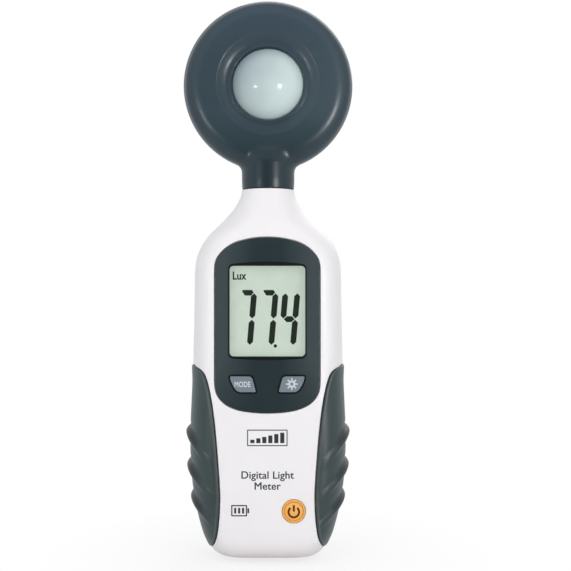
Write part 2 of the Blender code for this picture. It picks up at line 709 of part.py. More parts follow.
def build_rear_case():
    shell = case_shell("rear_case", False)
    for x, z in CASE_SCREWS:
        join(shell, rod("boss", 3.5, x, z, (0.4, 15.6), WHITE, 14))
        cut(shell, rod("counterbore", 2.9, x, z, (CASE_SCREW_SEAT, 30), WHITE, 16),
            rod("hole", CASE_SCREW_HOLE, x, z, (-5, 12), WHITE, 12))
    join(shell, box("compartment", (-BOX_HALF_WIDTH, BOX_HALF_WIDTH), (-4.2, 16.9), BOX_Z, WHITE))
    room_half = BOX_HALF_WIDTH - BOX_WALL
    doorway_half = DOOR_HALF_WIDTH + GAP
    cut(shell,
        box("room", (-room_half, room_half), (-3.2, 15.35),
            (BOX_Z[0] + BOX_WALL, BOX_Z[1] - BOX_WALL), WHITE),
        box("doorway", (-doorway_half, doorway_half), (14.9, 25),
            (HINGE_Z - HINGE_RADIUS - GAP, DOOR_TOP + GAP), WHITE),
        box("wire_slot", (-5, 5), (4, 8), (66, 75), WHITE),
        cylinder("pin_holes", 0.75, (-16.8, 16.8), (0, HINGE_Y, HINGE_Z), "x", WHITE, 12))


# ---------------------------------------------------------------- battery door
def build_battery_door():
    # side view (y, z): two top corners, then the round of the hinge
    outline = [(15.3, DOOR_TOP), (17.65, DOOR_TOP)]
    for angle in range(0, 181, 30):
        turn = math.radians(angle)
        outline.append((HINGE_Y + HINGE_RADIUS * math.cos(turn),
                        HINGE_Z - HINGE_RADIUS * math.sin(turn)))
    left, right = ([(x, y, z) for y, z in outline] for x in (-DOOR_HALF_WIDTH, DOOR_HALF_WIDTH))
    door = extrude("battery_door", left, right, WHITE)
    join(door, cylinder("pin", 0.65, (-16.4, 16.4), (0, HINGE_Y, HINGE_Z), "x", WHITE, 12))
    # finger recess by the latch, and the latch's own tongue inside the top edge
    cut(door, cylinder("finger", 5.6, (-8, 8), (0, 22.4, 60.8), "x", WHITE))
    join(door, box("tongue", (-4, 4), (13.4, 15.8), (63.4, 64.9), WHITE))


# ---------------------------------------------------------------- battery, its snap connector and leads
TERMINAL_Y = 5.8
TERMINALS = [(-6.35, 2.9, 6), (6.35, 2.6, 14)]      # x, radius, sides
TERMINAL_CLEARANCE = 0.35


def build_battery():
    battery = box("battery_9v", (-13.2, 13.2), (-2.9, 14.5), (16.2, 61.8), BATTERY)
    bevel = battery.modifiers.new("round", "BEVEL")
    bevel.width = 1.2 * MM
    bevel.segments = 2
    bevel.limit_method = "ANGLE"
    battery.data = evaluated_mesh(battery)
    battery.modifiers.clear()
    join(battery, *[cylinder("terminal", radius, (61, 64.2), (x, TERMINAL_Y, 0), "z", STEEL, sides)
                    for x, radius, sides in TERMINALS])


def build_battery_snap():
    snap = box("battery_snap", (-12.8, 12.8), (-0.4, 12.0), (62.2, 67.4), BLACK)
    cut(snap, *[cylinder("socket", radius + TERMINAL_CLEARANCE, (60, 64.8), (x, TERMINAL_Y, 0),
                         "z", BLACK, sides) for x, radius, sides in TERMINALS])
    for name, x, mat in (("battery_lead_red", -2.6, RED), ("battery_lead_black", 2.6, BLACK)):
        path = [(x, 6, 67.7), (x, 6, 72.5), (x, 1.5, 76.5), (x, -3.6, 78.5)]
        tube(name, path, 0.7, mat, steps=4)


# ---------------------------------------------------------------- sensor head shells
HEAD_CENTRE = (0, 0, HEAD_Z)
HUB_RADIUS = 6.2
HUB_BORE = HUB_RADIUS + GAP     # bore round the swivel hub
HUB_TOP_FLANGE = 138.6          # underside of the hub's upper flange

# (radius from the disc's centre, distance from the parting plane)
# front shell: from the dome's seat out to the rim, then back in along the inside
HEAD_FRONT = [(13.25, 4.45), (13.25, 5.75), (13.6, 5.95), (14.4, 5.95), (14.8, 5.5),
              (16.4, 6.05), (18.0, 7.05), (18.7, 7.55), (19.2, 7.7), (20.0, 7.65), (22.5, 7.65),
              (24.8, 7.55), (26.4, 7.15), (28.0, 6.35), (29.3, 5.2), (30.4, 3.7), (31.05, 2.0),
              (HEAD_RADIUS, HALF_GAP),
              (29.6, HALF_GAP), (29.1, 2.6), (27.9, 4.3), (26.0, 5.5), (24.0, 5.9),
              (20.3, 5.9), (18.6, 5.1), (16.9, 4.45)]
# rear shell: from the rim in to the centre, then back out along the inside
HEAD_BACK = [(HEAD_RADIUS, HALF_GAP), (31.05, 2.0), (30.3, 3.8), (29.0, 5.4), (27.2, 6.7),
             (25.0, 7.5), (22.0, 7.8), (0, 7.8),
             (0, 6.0), (21.8, 6.0), (24.6, 5.6), (27.0, 4.5), (28.8, 2.6), (29.6, HALF_GAP)]
# neck sections: level, half width, depth in front, depth behind
NECK = [(JOINT_Z + HALF_GAP, NECK_RADIUS, NECK_RADIUS, NECK_RADIUS), (138.5, 9.9, 9.75, 9.75),
        (141.0, 10.3, 9.85, 9.85), (142.4, 10.9, 9.8, 9.8), (143.5, 11.7, 9.7, 9.7),
        (144.5, 12.8, 9.5, 9.5), (145.6, 14.2, 9.25, 9.25), (147.3, 12.6, 8.75, 8.8),
        (149.5, 10.5, 8.0, 8.2), (151.5, 8.0, 7.3, 7.4)]


def neck_solid(front):
    """Half of the neck, in front of or behind the parting plane."""
    spans = 12
    cols = spans + 1
    points = []
    for z, width, depth_front, depth_back in NECK:
        depth = depth_front if front else depth_back
        # rounded like a cylinder low down, drawn to a soft point sideways where it flares
        power = 2 / (2.0 - 0.55 * smoothstep(141, 145.6, z))
        for j in range(cols):
            turn = math.pi * j / spans
            cosine = math.cos(turn)
            x = width * math.copysign(abs(cosine) ** power, cosine)
            y = max(HALF_GAP, depth * abs(math.sin(turn)) ** power)
            points.append(Vector((x, -y if front else y, z)))
    faces = []
    last = len(NECK) - 1
    for i in range(last):
        low, high = i * cols, (i + 1) * cols
        for j in range(spans):
            faces.append((low + j, low + j + 1, high + j + 1, high + j))
        faces.append((low, high, high + spans, low + spans))
    faces.append(tuple(range(cols)))
    faces.append(tuple(last * cols + j for j in range(cols)))
    return make("neck", points, faces, DARK)


def head_shell(name, profile, front):
    """Disc shell and half neck, bored for the swivel hub and its cable."""
    shell = lathe(name, profile, HEAD_CENTRE, "-y" if front else "y", DARK, 36)
    join(shell, neck_solid(front))
    flange_room = HUB_TOP_FLANGE - GAP
    bore = [(0, 134), (HUB_BORE, 134), (HUB_BORE, flange_room), (7.75, flange_room),
            (7.75, 141.4), (0, 141.4)]
    passage = lathe("bore", bore, (0, 0, 0), "z", DARK)
    join(passage, box("cable_way", (-5.0, 5.0), (-3.2, 5.2), (140.5, 152.6), DARK))
    cut(shell, passage)
    return shell


def build_head_front():
    shell = head_shell("head_front_shell", HEAD_FRONT, True)
    for x, z in HEAD_SCREWS:
        join(shell, rod("boss", 2.2, x, z, (-6.6, -0.3), DARK, 12))
        cut(shell, rod("hole", HEAD_SCREW_HOLE, x, z, (-4.4, 3), DARK, 12))


def build_head_rear():
    shell = head_shell("head_rear_shell", HEAD_BACK, False)
    for x, z in HEAD_SCREWS:
        join(shell, rod("boss", 3.1, x, z, (0.3, 6.9), DARK, 14))
        cut(shell, rod("counterbore", HEAD_SCREW["head_radius"] + GAP, x, z,
                       (HEAD_SCREW_SEAT, 20), DARK, 14),
            rod("hole", HEAD_SCREW_HOLE, x, z, (-9, 10), DARK, 12))


# ---------------------------------------------------------------- optics, in order from the front
DOME_RADIUS = 12.75
DOME_RISE = 9.2             # how far the dome rises above its base
DOME_BASE = 4.1             # distance of the base in front of the parting plane
DOME_WALL = 1.6
DOME_BORE = 11.2            # radius of the opening behind the dome


def dome_arc(radius, centre, rim, steps):
    """Profile points of a spherical cap, from its rim to its apex."""
    opening = math.asin(rim / radius)
    turns = [opening * (1 - k / steps) for k in range(steps)]
    points = [(radius * math.sin(turn), centre + radius * math.cos(turn)) for turn in turns]
    return points + [(0, centre + radius)]


def build_dome():
    sphere = (DOME_RADIUS**2 + DOME_RISE**2) / (2 * DOME_RISE)
    centre = DOME_BASE + DOME_RISE - sphere
    outer = dome_arc(sphere, centre, DOME_RADIUS, 6)
    inner = dome_arc(sphere - DOME_WALL, centre, DOME_BORE, 4)[::-1]
    profile = [(14.9, 2.8), (14.9, 4.15)] + outer + inner + [(DOME_BORE, 2.8)]
    lathe("diffuser_dome", profile, HEAD_CENTRE, "-y", OPAL, 28)


def build_sensor():
    ring("dome_ring", (11.6, 16.6), (1.0, 2.5), HEAD_CENTRE, "-y", BLACK, 28)
    # (radius, distance in front of the parting plane), with a ledge under the filter
    holder = [(4.2, 1.2), (4.2, 1.7), (5.6, 1.7), (5.6, 3.5), (6.8, 3.5), (6.8, -0.9),
              (5.6, -0.9), (5.6, 1.2)]
    lathe("filter_holder", holder, HEAD_CENTRE, "-y", BLACK, 20)
    cylinder("colour_filter", 5.3, (2.0, 3.1), HEAD_CENTRE, "-y", FILTER, 20)
    cylinder("photodiode", 4.3, (-0.9, 0.9), HEAD_CENTRE, "-y", STEEL, 18)
    cylinder("sensor_pcb", 13.0, (-2.8, -1.2), HEAD_CENTRE, "-y", PCB, 24)


def build_sensor_cables():
    """The cable up through the swivel, and the lead from its lower end to the main board."""
    radius = 1.2
    cable = [(0, 0, 118.2), (0, 0, 135), (0, 0, 150), (0, 2.0, 156), (0, 2.0, 160.1)]
    lead = [(0, 0, 117.6), (0, -1.0, 114.6), (0, -2.7, 112.6), (0, -2.7, 110.4)]
    tube("sensor_cable", cable, radius, BLACK, steps=3)
    tube("sensor_lead", lead, radius, BLACK, steps=3)


# ---------------------------------------------------------------- swivel in the neck, on the Z axis
def build_swivel():
    origin = (0, 0, 0)
    low, high = HUB_FLANGE_Z
    bore = 3.6
    # (radius, z): a sleeve with a flange at each end
    hub_profile = [(bore, low), (8.2, low), (8.2, high), (HUB_RADIUS, high),
                   (HUB_RADIUS, HUB_TOP_FLANGE), (7.4, HUB_TOP_FLANGE), (7.4, 141.0),
                   (bore, 141.0)]
    hub = lathe("swivel_hub", hub_profile, origin, "z", POM, 28)
    # the lug is a hair thinner than the flange so that no faces coincide
    join(hub, box("lug", (-2.0, 2.0), (7.0, 10.2), (low + 0.02, high - 0.02), POM))
    bush_profile = [(HUB_BORE, 124.0), (9.2, 124.0), (9.2, 125.4), (7.05, 125.4),
                    (7.05, 134.4), (HUB_BORE, 134.4)]
    lathe("swivel_bush", bush_profile, origin, "z", NATURAL, 28)
    ring("friction_washer", (6.6, 8.2), (122.7, 123.7), origin, "z", STEEL, 24)


# ---------------------------------------------------------------- origins of the moving pieces
ORIGINS = {
    "battery_door": (0, HINGE_Y, HINGE_Z),
    "head_front_shell": (0, 0, JOINT_Z),
    "head_rear_shell": (0, 0, JOINT_Z),
    "mode_key": (-SMALL_KEY_X, SMALL_KEY_FRONT, SMALL_KEY_Z),
    "backlight_key": (SMALL_KEY_X, SMALL_KEY_FRONT, SMALL_KEY_Z),
    "power_key": (POWER_KEY_X, POWER_KEY_FRONT, POWER_KEY_Z),
}


def set_origins():
    for name, point in ORIGINS.items():
        piece = bpy.data.objects[name]
        place = Vector([c * MM for c in point])
        piece.data.transform(Matrix.Translation(-place))
        piece.location = place
    bpy.context.view_layer.update()


build_front_case()
build_rear_case()
build_grips()
build_bezel()
build_display()
build_small_key("mode", MODE_KEY, -SMALL_KEY_X)
build_small_key("backlight", BACKLIGHT_KEY, SMALL_KEY_X)
build_power_key()
build_main_board()
build_board_parts()
build_screws()
build_battery_door()
build_battery()
build_battery_snap()
build_head_front()
build_head_rear()
build_dome()
build_sensor()
build_sensor_cables()
build_swivel()
set_origins()
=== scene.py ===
"""Looks of the handheld light meter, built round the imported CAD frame. Sizes below are in millimetres."""
import json
import math

import bmesh
import bpy
import numpy as np
from mathutils import Matrix, Vector


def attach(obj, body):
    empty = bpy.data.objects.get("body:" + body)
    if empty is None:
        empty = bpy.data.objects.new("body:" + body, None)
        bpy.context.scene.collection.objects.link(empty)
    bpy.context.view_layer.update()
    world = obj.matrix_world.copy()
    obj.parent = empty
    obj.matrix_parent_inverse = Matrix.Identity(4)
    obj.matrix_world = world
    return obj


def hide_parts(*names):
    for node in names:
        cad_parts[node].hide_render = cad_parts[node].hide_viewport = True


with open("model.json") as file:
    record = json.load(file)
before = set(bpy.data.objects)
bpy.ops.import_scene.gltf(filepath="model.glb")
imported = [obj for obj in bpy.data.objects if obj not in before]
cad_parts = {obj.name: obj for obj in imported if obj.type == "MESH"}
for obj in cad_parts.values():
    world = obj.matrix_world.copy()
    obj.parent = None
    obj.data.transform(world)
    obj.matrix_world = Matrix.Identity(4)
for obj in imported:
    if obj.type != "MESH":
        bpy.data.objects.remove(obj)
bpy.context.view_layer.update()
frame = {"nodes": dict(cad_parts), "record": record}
nodes = frame["nodes"]
MM = 0.001
GAP = 0.3
Z_JOINT = 135.1
HEAD_Z = 173.6
HEAD_R = 31.3
DOME_R = 12.75

# ------------------------------------------------------------------ profiles, as in the CAD source
WIDTH = [(0, 15.2), (0.45, 16.6), (0.95, 17.5), (1.9, 18.9), (3.1, 20.2), (4.8, 21.4), (7, 22.8), (9.2, 23.8),
         (11.4, 24.5), (15.9, 25.7), (20, 26.6), (26.9, 27.7), (33, 28.25), (41, 28.55), (48, 28.5), (55.7, 28.2),
         (62.3, 27.9), (71.2, 27.6), (80, 27.4), (94.8, 27.1), (103, 27.0), (106.6, 26.8), (108.8, 26.5), (111, 25.9),
         (113.2, 25.0), (115.4, 23.8), (117.6, 22.3), (119.8, 20.3), (122, 18.0), (124.3, 15.8), (126.5, 13.8),
         (128.7, 12.2), (130.9, 10.9), (133.1, 10.0), (135.1, 9.6)]
FRONT = [(0, 4.2), (0.15, 5.4), (0.5, 7.2), (1.1, 9.2), (1.9, 11.3), (2.8, 13.0), (4, 14.4), (5.6, 15.4), (8, 16.1),
         (12, 16.35), (25, 16.4), (100, 16.4), (108, 16.35), (112, 16.2), (116, 15.8), (119, 15.1), (122, 14.1), (126, 12.5), (130, 10.9),
         (133, 9.9), (135.1, 9.6)]
BACK = [(0, 4.2), (0.15, 5.6), (0.5, 7.6), (1.1, 9.9), (1.9, 12.2), (2.8, 14.1), (4, 15.7), (5.6, 16.9), (8, 17.6),
        (11, 17.8), (98, 17.8), (104, 17.6), (109, 17.0), (114, 15.8), (119, 14.4), (123, 13.1), (127, 11.7), (131, 10.3), (133.5, 9.75),
        (135.1, 9.6)]
ROUND_X = [(0, 9.0), (10, 10.5), (60, 10.5), (78, 8.6), (106, 8.6), (116, 10.5), (124, 11.5), (130, 10.4), (135.1, 9.6)]
CROWN = [(0, 0.0), (6, 0.35), (14, 0.7), (108, 0.7), (118, 0.45), (130, 0.0), (135.1, 0.0)]
POWER = [(0, 2.3), (110, 2.3), (128, 2.05), (135.1, 2.0)]
GRIP_IN = [(4.4, 20.9), (5.5, 20.2), (7.7, 19.1), (9.9, 18.3), (14.2, 17.6), (20.6, 17.1), (25, 17.0), (29.2, 17.2),
           (33.5, 17.45), (37.8, 17.8), (42, 18.1), (46.3, 18.5), (50.6, 18.95), (54.9, 19.5), (59.2, 20.2),
           (61.3, 20.6), (63.5, 21.1), (65.6, 21.7), (67.8, 22.5), (69.3, 23.7), (70.2, 25.2), (70.7, 27.0)]
GRIP_Z = (5.2, 70.6)
GRIP_RAISE = 0.35
RIDGES = [(46.5, 1.35), (34.3, 1.25), (22.7, 1.15)]
NECK = [(Z_JOINT + GAP / 2, 9.6, 9.6, 9.6), (138.5, 9.9, 9.75, 9.75), (141.0, 10.3, 9.85, 9.85), (142.4, 10.9, 9.8, 9.8),
        (143.5, 11.7, 9.7, 9.7), (144.5, 12.8, 9.5, 9.5), (145.6, 14.2, 9.25, 9.25), (147.3, 12.6, 8.75, 8.8),
        (149.5, 10.5, 8.0, 8.2), (151.5, 8.0, 7.3, 7.4)]


def fine(table):
    """The table's monotone cubic, sampled finely: returns a function of an array."""
    xs = np.array([p[0] for p in table], float)
    ys = np.array([p[1] for p in table], float)
    h = np.diff(xs)
    d = np.diff(ys) / h
    m = np.zeros(len(xs))
    m[0], m[-1] = d[0], d[-1]
    for k in range(1, len(xs) - 1):
        if d[k - 1] * d[k] > 0:
            m[k] = (h[k - 1] + h[k]) * 3 / ((2 * h[k] + h[k - 1]) / d[k - 1] + (h[k] + 2 * h[k - 1]) / d[k])
    q = np.linspace(xs[0], xs[-1], 2400)
    i = np.clip(np.searchsorted(xs, q, side="right") - 1, 0, len(xs) - 2)
    t = (q - xs[i]) / h[i]
    v = ((2 * t**3 - 3 * t**2 + 1) * ys[i] + (t**3 - 2 * t**2 + t) * h[i] * m[i]
         + (3 * t**2 - 2 * t**3) * ys[i + 1] + (t**3 - t**2) * h[i] * m[i + 1])
    return lambda z: np.interp(z, q, v)


f_width, f_front, f_back, f_round, f_crown, f_power, f_grip = map(fine, (WIDTH, FRONT, BACK, ROUND_X, CROWN, POWER, GRIP_IN))


def smoothstep(a, b, x):
    t = np.clip((np.asarray(x, float) - a) / (b - a), 0, 1)
    return t * t * (3 - 2 * t)


def shell_width(z):
    return f_width(z) - GRIP_RAISE * smoothstep(3.5, 8, z) * (1 - smoothstep(64, 71, z))


def case_point(z, alpha, grow=0.0):
    """Points of the case's skin, alpha in degrees: 0 right, 90 front, 180 left, -90 back."""
    z, alpha = np.broadcast_arrays(np.asarray(z, float), np.asarray(alpha, float))
    w = shell_width(z) + grow
    a = np.radians(alpha)
    front = np.sin(a) >= 0
    d = np.where(front, f_front(z), f_back(z)) + grow
    rho = np.minimum(f_round(z) + grow, w)
    p = f_power(z)
    x = w * np.cos(a)
    u = np.clip((w - np.abs(x)) / rho, 0, 1)
    y = d * np.maximum(0, 1 - (1 - u) ** p) ** (1 / p)
    y = y + np.where(front, f_crown(z) * (1 - (x / w) ** 2), 0)
    return np.stack([x, np.where(front, -y, y), z], -1)


def case_normal(z, alpha):
    a = case_point(z, alpha + 0.3) - case_point(z, alpha - 0.3)
    b = case_point(np.minimum(z + 0.04, 135.1), alpha) - case_point(np.maximum(z - 0.04, 0), alpha)
    n = np.cross(b, a)
    return n / np.maximum(np.linalg.norm(n, axis=-1, keepdims=True), 1e-9)


def skin_normal(points):
    """The skin's normal at points on or just off it."""
    z = np.clip(points[:, 2], 0.02, 135.0)
    w = shell_width(z)
    a = np.degrees(np.arccos(np.clip(points[:, 0] / w, -1, 1)))
    a = np.clip(a, 0.5, 179.5)
    return case_normal(z, np.where(points[:, 1] <= 0, a, -a))


# ------------------------------------------------------------------ materials
def nt(name):
    m = bpy.data.materials.new(name)
    m.use_nodes = True
    return m, m.node_tree.nodes, m.node_tree.links


def mathn(N, L, op, a, b=None, c=None, clamp=False):
    n = N.new("ShaderNodeMath")
    n.operation = op
    n.use_clamp = clamp
    for i, v in enumerate((a, b, c)):
        if v is None:
            continue
        if isinstance(v, (int, float)):
            n.inputs[i].default_value = v
        else:
            L.new(v, n.inputs[i])
    return n.outputs[0]


def noise(N, L, scale, detail=2.0, rough=0.5, vec=None, distortion=0.0):
    n = N.new("ShaderNodeTexNoise")
    n.inputs["Scale"].default_value = scale
    n.inputs["Detail"].default_value = detail
    n.inputs["Roughness"].default_value = rough
    n.inputs["Distortion"].default_value = distortion
    if vec is not None:
        L.new(vec, n.inputs["Vector"])
    return n.outputs["Fac"]


def mixc(N, L, fac, a, b, mode="MIX"):
    n = N.new("ShaderNodeMix")
    n.data_type = "RGBA"
    n.blend_type = mode
    for sock, v in ((n.inputs[0], fac), (n.inputs[6], a), (n.inputs[7], b)):
        if isinstance(v, (int, float)):
            sock.default_value = v
        elif isinstance(v, tuple):
            sock.default_value = (*v, 1)
        else:
            L.new(v, sock)
    return n.outputs[2]


def ramp(N, L, fac, lo, hi):
    """fac from lo to hi mapped to 0..1."""
    n = N.new("ShaderNodeMapRange")
    n.inputs["From Min"].default_value = lo
    n.inputs["From Max"].default_value = hi
    L.new(fac, n.inputs["Value"])
    return n.outputs[0]


def plastic(name, colour, rough, grain=0.02, grain_scale=5200, vary=0.05, rough_vary=0.07, edge=0.25, edge_colour=None,
            bevel=0.25, spec=0.5, metal=0.0, wave=0.0, sss=0.0, coat=0.0, scuff=0.0):
    """Moulded plastic: base colour with slow mottling, fine spark-eroded grain, uneven gloss and softened, worn edges."""
    m, N, L = nt(name)
    b = N["Principled BSDF"]
    tc = N.new("ShaderNodeTexCoord").outputs["Object"]
    slow = noise(N, L, 60, 3, 0.55, tc)
    mid = noise(N, L, 620, 3, 0.6, tc)
    dark = tuple(c * (1 - vary) for c in colour)
    light = tuple(min(1, c * (1 + vary)) for c in colour)
    col = mixc(N, L, ramp(N, L, slow, 0.3, 0.7), dark, light)
    col = mixc(N, L, mathn(N, L, "MULTIPLY", ramp(N, L, mid, 0.35, 0.75), 0.25), col, tuple(c * (1 - 1.6 * vary) for c in colour))
    bn = None
    if bevel:
        bv = N.new("ShaderNodeBevel")
        bv.samples = 4
        bv.inputs["Radius"].default_value = bevel * MM
        bn = bv.outputs[0]
        geo = N.new("ShaderNodeNewGeometry").outputs["Normal"]
        dot = N.new("ShaderNodeVectorMath")
        dot.operation = "DOT_PRODUCT"
        L.new(bn, dot.inputs[0])
        L.new(geo, dot.inputs[1])
        mask = mathn(N, L, "MULTIPLY", mathn(N, L, "SUBTRACT", 1.0, dot.outputs["Value"], clamp=True), 3.0, clamp=True)
        mask = mathn(N, L, "MULTIPLY", mask, ramp(N, L, mid, 0.35, 0.6))
        ec = edge_colour or tuple(min(1, c * 1.5 + 0.03) for c in colour)
        col = mixc(N, L, mathn(N, L, "MULTIPLY", mask, edge), col, ec)
    L.new(col, b.inputs["Base Color"])
    r = mathn(N, L, "ADD", rough - rough_vary / 2, mathn(N, L, "MULTIPLY", mid, rough_vary))
    if scuff:
        # fine, long hairline scuffs
        mp = N.new("ShaderNodeMapping")
        mp.inputs["Scale"].default_value = (2600, 2600, 130)
        mp.inputs["Rotation"].default_value = (0.0, 0.6, 0.2)
        L.new(tc, mp.inputs["Vector"])
        hair = noise(N, L, 1, 2, 0.5, mp.outputs[0])
        r = mathn(N, L, "ADD", r, mathn(N, L, "MULTIPLY", ramp(N, L, hair, 0.62, 0.75), scuff), clamp=True)
    L.new(r, b.inputs["Roughness"])
    fineg = noise(N, L, grain_scale, 2, 0.6, tc)
    height = mathn(N, L, "MULTIPLY", fineg, grain)
    if wave:
        height = mathn(N, L, "ADD", height, mathn(N, L, "MULTIPLY", slow, wave))
    bump = N.new("ShaderNodeBump")
    bump.inputs["Strength"].default_value = 1.0
    bump.inputs["Distance"].default_value = MM
    L.new(height, bump.inputs["Height"])
    if bn is not None:
        L.new(bn, bump.inputs["Normal"])
    L.new(bump.outputs[0], b.inputs["Normal"])
    b.inputs["Specular IOR Level"].default_value = spec
    b.inputs["Metallic"].default_value = metal
    if sss:
        b.inputs["Subsurface Weight"].default_value = sss
        b.inputs["Subsurface Radius"].default_value = (1.0, 0.9, 0.85)
        b.inputs["Subsurface Scale"].default_value = 0.0012
    if coat:
        b.inputs["Coat Weight"].default_value = coat
        b.inputs["Coat Roughness"].default_value = 0.08
    return m


WHITE = plastic("white_abs", (0.862, 0.835, 0.838), 0.42, grain=0.006, grain_scale=4200, vary=0.012, edge=0.3, edge_colour=(0.62, 0.6, 0.6), bevel=0.3, spec=0.42, scuff=0.10)
DARK = plastic("dark_abs", (0.031, 0.056, 0.073), 0.31, grain=0.004, grain_scale=4000, vary=0.07, edge=0.35, bevel=0.25, spec=0.42, scuff=0.08)
RUBBER = plastic("grip_rubber", (0.022, 0.042, 0.042), 0.42, grain=0.014, grain_scale=3300, vary=0.10, rough_vary=0.14, edge=0.4, bevel=0.3, spec=0.5, scuff=0.05)
BEZEL = plastic("bezel_abs", (0.011, 0.025, 0.030), 0.30, grain=0.006, grain_scale=4200, vary=0.08, edge=0.5, edge_colour=(0.07, 0.09, 0.10), bevel=0.35, spec=0.5, scuff=0.10)
KEYGREY = plastic("key_grey", (0.175, 0.215, 0.25), 0.46, grain=0.012, grain_scale=4200, vary=0.05, edge=0.25, bevel=0.45, spec=0.4)
ORANGE = plastic("key_orange", (0.90, 0.455, 0.10), 0.42, grain=0.012, grain_scale=4200, vary=0.05, edge=0.2, edge_colour=(0.5, 0.22, 0.05), bevel=0.2, spec=0.4, sss=0.1)
PRINT_DARK = plastic("print_dark", (0.020, 0.024, 0.028), 0.5, grain=0.01, vary=0.15, edge=0, bevel=0)
PRINT_PALE = plastic("print_pale", (0.62, 0.68, 0.72), 0.5, grain=0.01, vary=0.10, edge=0, bevel=0)
PRINT_BROWN = plastic("print_brown", (0.135, 0.026, 0.003), 0.6, grain=0.01, vary=0.12, edge=0, bevel=0, spec=0.15)
SEGMENT = plastic("lcd_segment", (0.016, 0.024, 0.015), 0.4, grain=0.004, vary=0.2, edge=0, bevel=0, spec=0.2)
GASKET_AND_SHADE = plastic("gasket_and_shade_black", (0.005, 0.008, 0.009), 0.6, grain=0.01, vary=0.2, edge=0.1, bevel=0, spec=0.12)
NATURAL = plastic("natural_plastic", (0.70, 0.71, 0.68), 0.5, grain=0.01, vary=0.04, bevel=0.15)
BLACK = plastic("black_plastic", (0.018, 0.018, 0.02), 0.48, grain=0.012, vary=0.15, bevel=0.15)
POM = plastic("swivel_pom", (0.05, 0.05, 0.055), 0.33, grain=0.004, vary=0.10, bevel=0.15)
REDW = plastic("wire_red", (0.50, 0.015, 0.015), 0.42, grain=0.004, vary=0.10, bevel=0)
FILTER = plastic("filter_glass", (0.10, 0.40, 0.18), 0.06, grain=0.0, vary=0.05, bevel=0, spec=0.5)
PCBM = plastic("pcb_green", (0.015, 0.14, 0.06), 0.36, grain=0.02, grain_scale=1500, vary=0.25, bevel=0.1, coat=0.3)


def metal(name, colour, rough):
    m = plastic(name, colour, rough, grain=0.004, grain_scale=2600, vary=0.07, rough_vary=0.14, edge=0.3, edge_colour=(0.8, 0.8, 0.8), bevel=0.12, metal=1.0)
    return m


STEEL = metal("steel", (0.52, 0.52, 0.53), 0.30)


def battery_material():
    """A printed metal sleeve: dark barrel with a copper-coloured band at the terminal end, no print."""
    m = plastic("battery_wrap", (0.02, 0.02, 0.024), 0.28, grain=0.004, vary=0.15, bevel=0.4, metal=0.5)
    N, L = m.node_tree.nodes, m.node_tree.links
    b = N["Principled BSDF"]
    old = b.inputs["Base Color"].links[0].from_socket
    g = N.new("ShaderNodeNewGeometry")
    tc = N.new("ShaderNodeTexCoord")
    sx = N.new("ShaderNodeSeparateXYZ")
    L.new(tc.outputs["Object"], sx.inputs[0])
    band = mathn(N, L, "GREATER_THAN", sx.outputs["Z"], 0.0465)
    col = mixc(N, L, band, old, (0.55, 0.27, 0.12))
    top = mathn(N, L, "GREATER_THAN", sx.outputs["Z"], 0.0614)
    col = mixc(N, L, top, col, (0.45, 0.45, 0.46))
    L.new(col, b.inputs["Base Color"])
    return m


BATTERY = battery_material()


def apply_grip_painted_light(m):
    N, L = m.node_tree.nodes, m.node_tree.links
    b = N["Principled BSDF"]
    col = b.inputs["Base Color"].links[0].from_socket
    # painted shade on the ridges and a painted highlight along the rolled inner edge
    for key, amount, tone in (("ridge_shade", 0.85, (0.007, 0.007, 0.008)), ("rim_highlight", 0.75, (0.10, 0.105, 0.108))):
        a = N.new("ShaderNodeAttribute")
        a.attribute_name = key
        col = mixc(N, L, mathn(N, L, "MULTIPLY", a.outputs["Fac"], amount), col, tone)
    L.new(col, b.inputs["Base Color"])


apply_grip_painted_light(RUBBER)


def head_painted_light(m):
    """Dark head moulding with painted light and shade: painted light makes it a little bluer and lighter toward its top
    and right, painted shade makes it deepest on the neck and darkens a band on its rounded outer edge, and a thin
    painted sheen lies near its outline.
    """
    N, L = m.node_tree.nodes, m.node_tree.links
    b = N["Principled BSDF"]
    col = b.inputs["Base Color"].links[0].from_socket
    sx = N.new("ShaderNodeSeparateXYZ")
    L.new(N.new("ShaderNodeTexCoord").outputs["Object"], sx.inputs[0])
    x, z = sx.outputs["X"], sx.outputs["Z"]
    up = ramp(N, L, z, 0.149, 0.160)
    # painted light: lighter and bluer toward the right, above the neck
    col = mixc(N, L, mathn(N, L, "MULTIPLY", mathn(N, L, "MULTIPLY", ramp(N, L, x, 0.004, 0.028), up), 0.75), col, (0.052, 0.080, 0.100))
    # painted light: lighter and bluer toward the top
    col = mixc(N, L, mathn(N, L, "MULTIPLY", ramp(N, L, z, 0.182, 0.200), 0.6), col, (0.040, 0.066, 0.098))
    # painted shade: darkest on the neck
    col = mixc(N, L, ramp(N, L, z, 0.163, 0.143), col, (0.009, 0.026, 0.034))
    # painted shade in a band on the rounded outer edge
    zc = mathn(N, L, "SUBTRACT", z, HEAD_Z * MM)
    r = mathn(N, L, "SQRT", mathn(N, L, "ADD", mathn(N, L, "MULTIPLY", x, x), mathn(N, L, "MULTIPLY", zc, zc)))
    col = mixc(N, L, mathn(N, L, "MULTIPLY", mathn(N, L, "MULTIPLY", ramp(N, L, r, 0.0262, 0.0288), up), 0.85), col, (0.015, 0.032, 0.043))
    # painted sheen: a thin lighter band near the outline, set by viewing angle
    f = N.new("ShaderNodeLayerWeight")
    f.inputs["Blend"].default_value = 0.5
    band = mathn(N, L, "MULTIPLY", ramp(N, L, f.outputs["Facing"], 0.47, 0.56), ramp(N, L, f.outputs["Facing"], 0.72, 0.62))
    col = mixc(N, L, mathn(N, L, "MULTIPLY", mathn(N, L, "MULTIPLY", band, up), 0.6), col, (0.125, 0.155, 0.175))
    L.new(col, b.inputs["Base Color"])


head_painted_light(DARK)


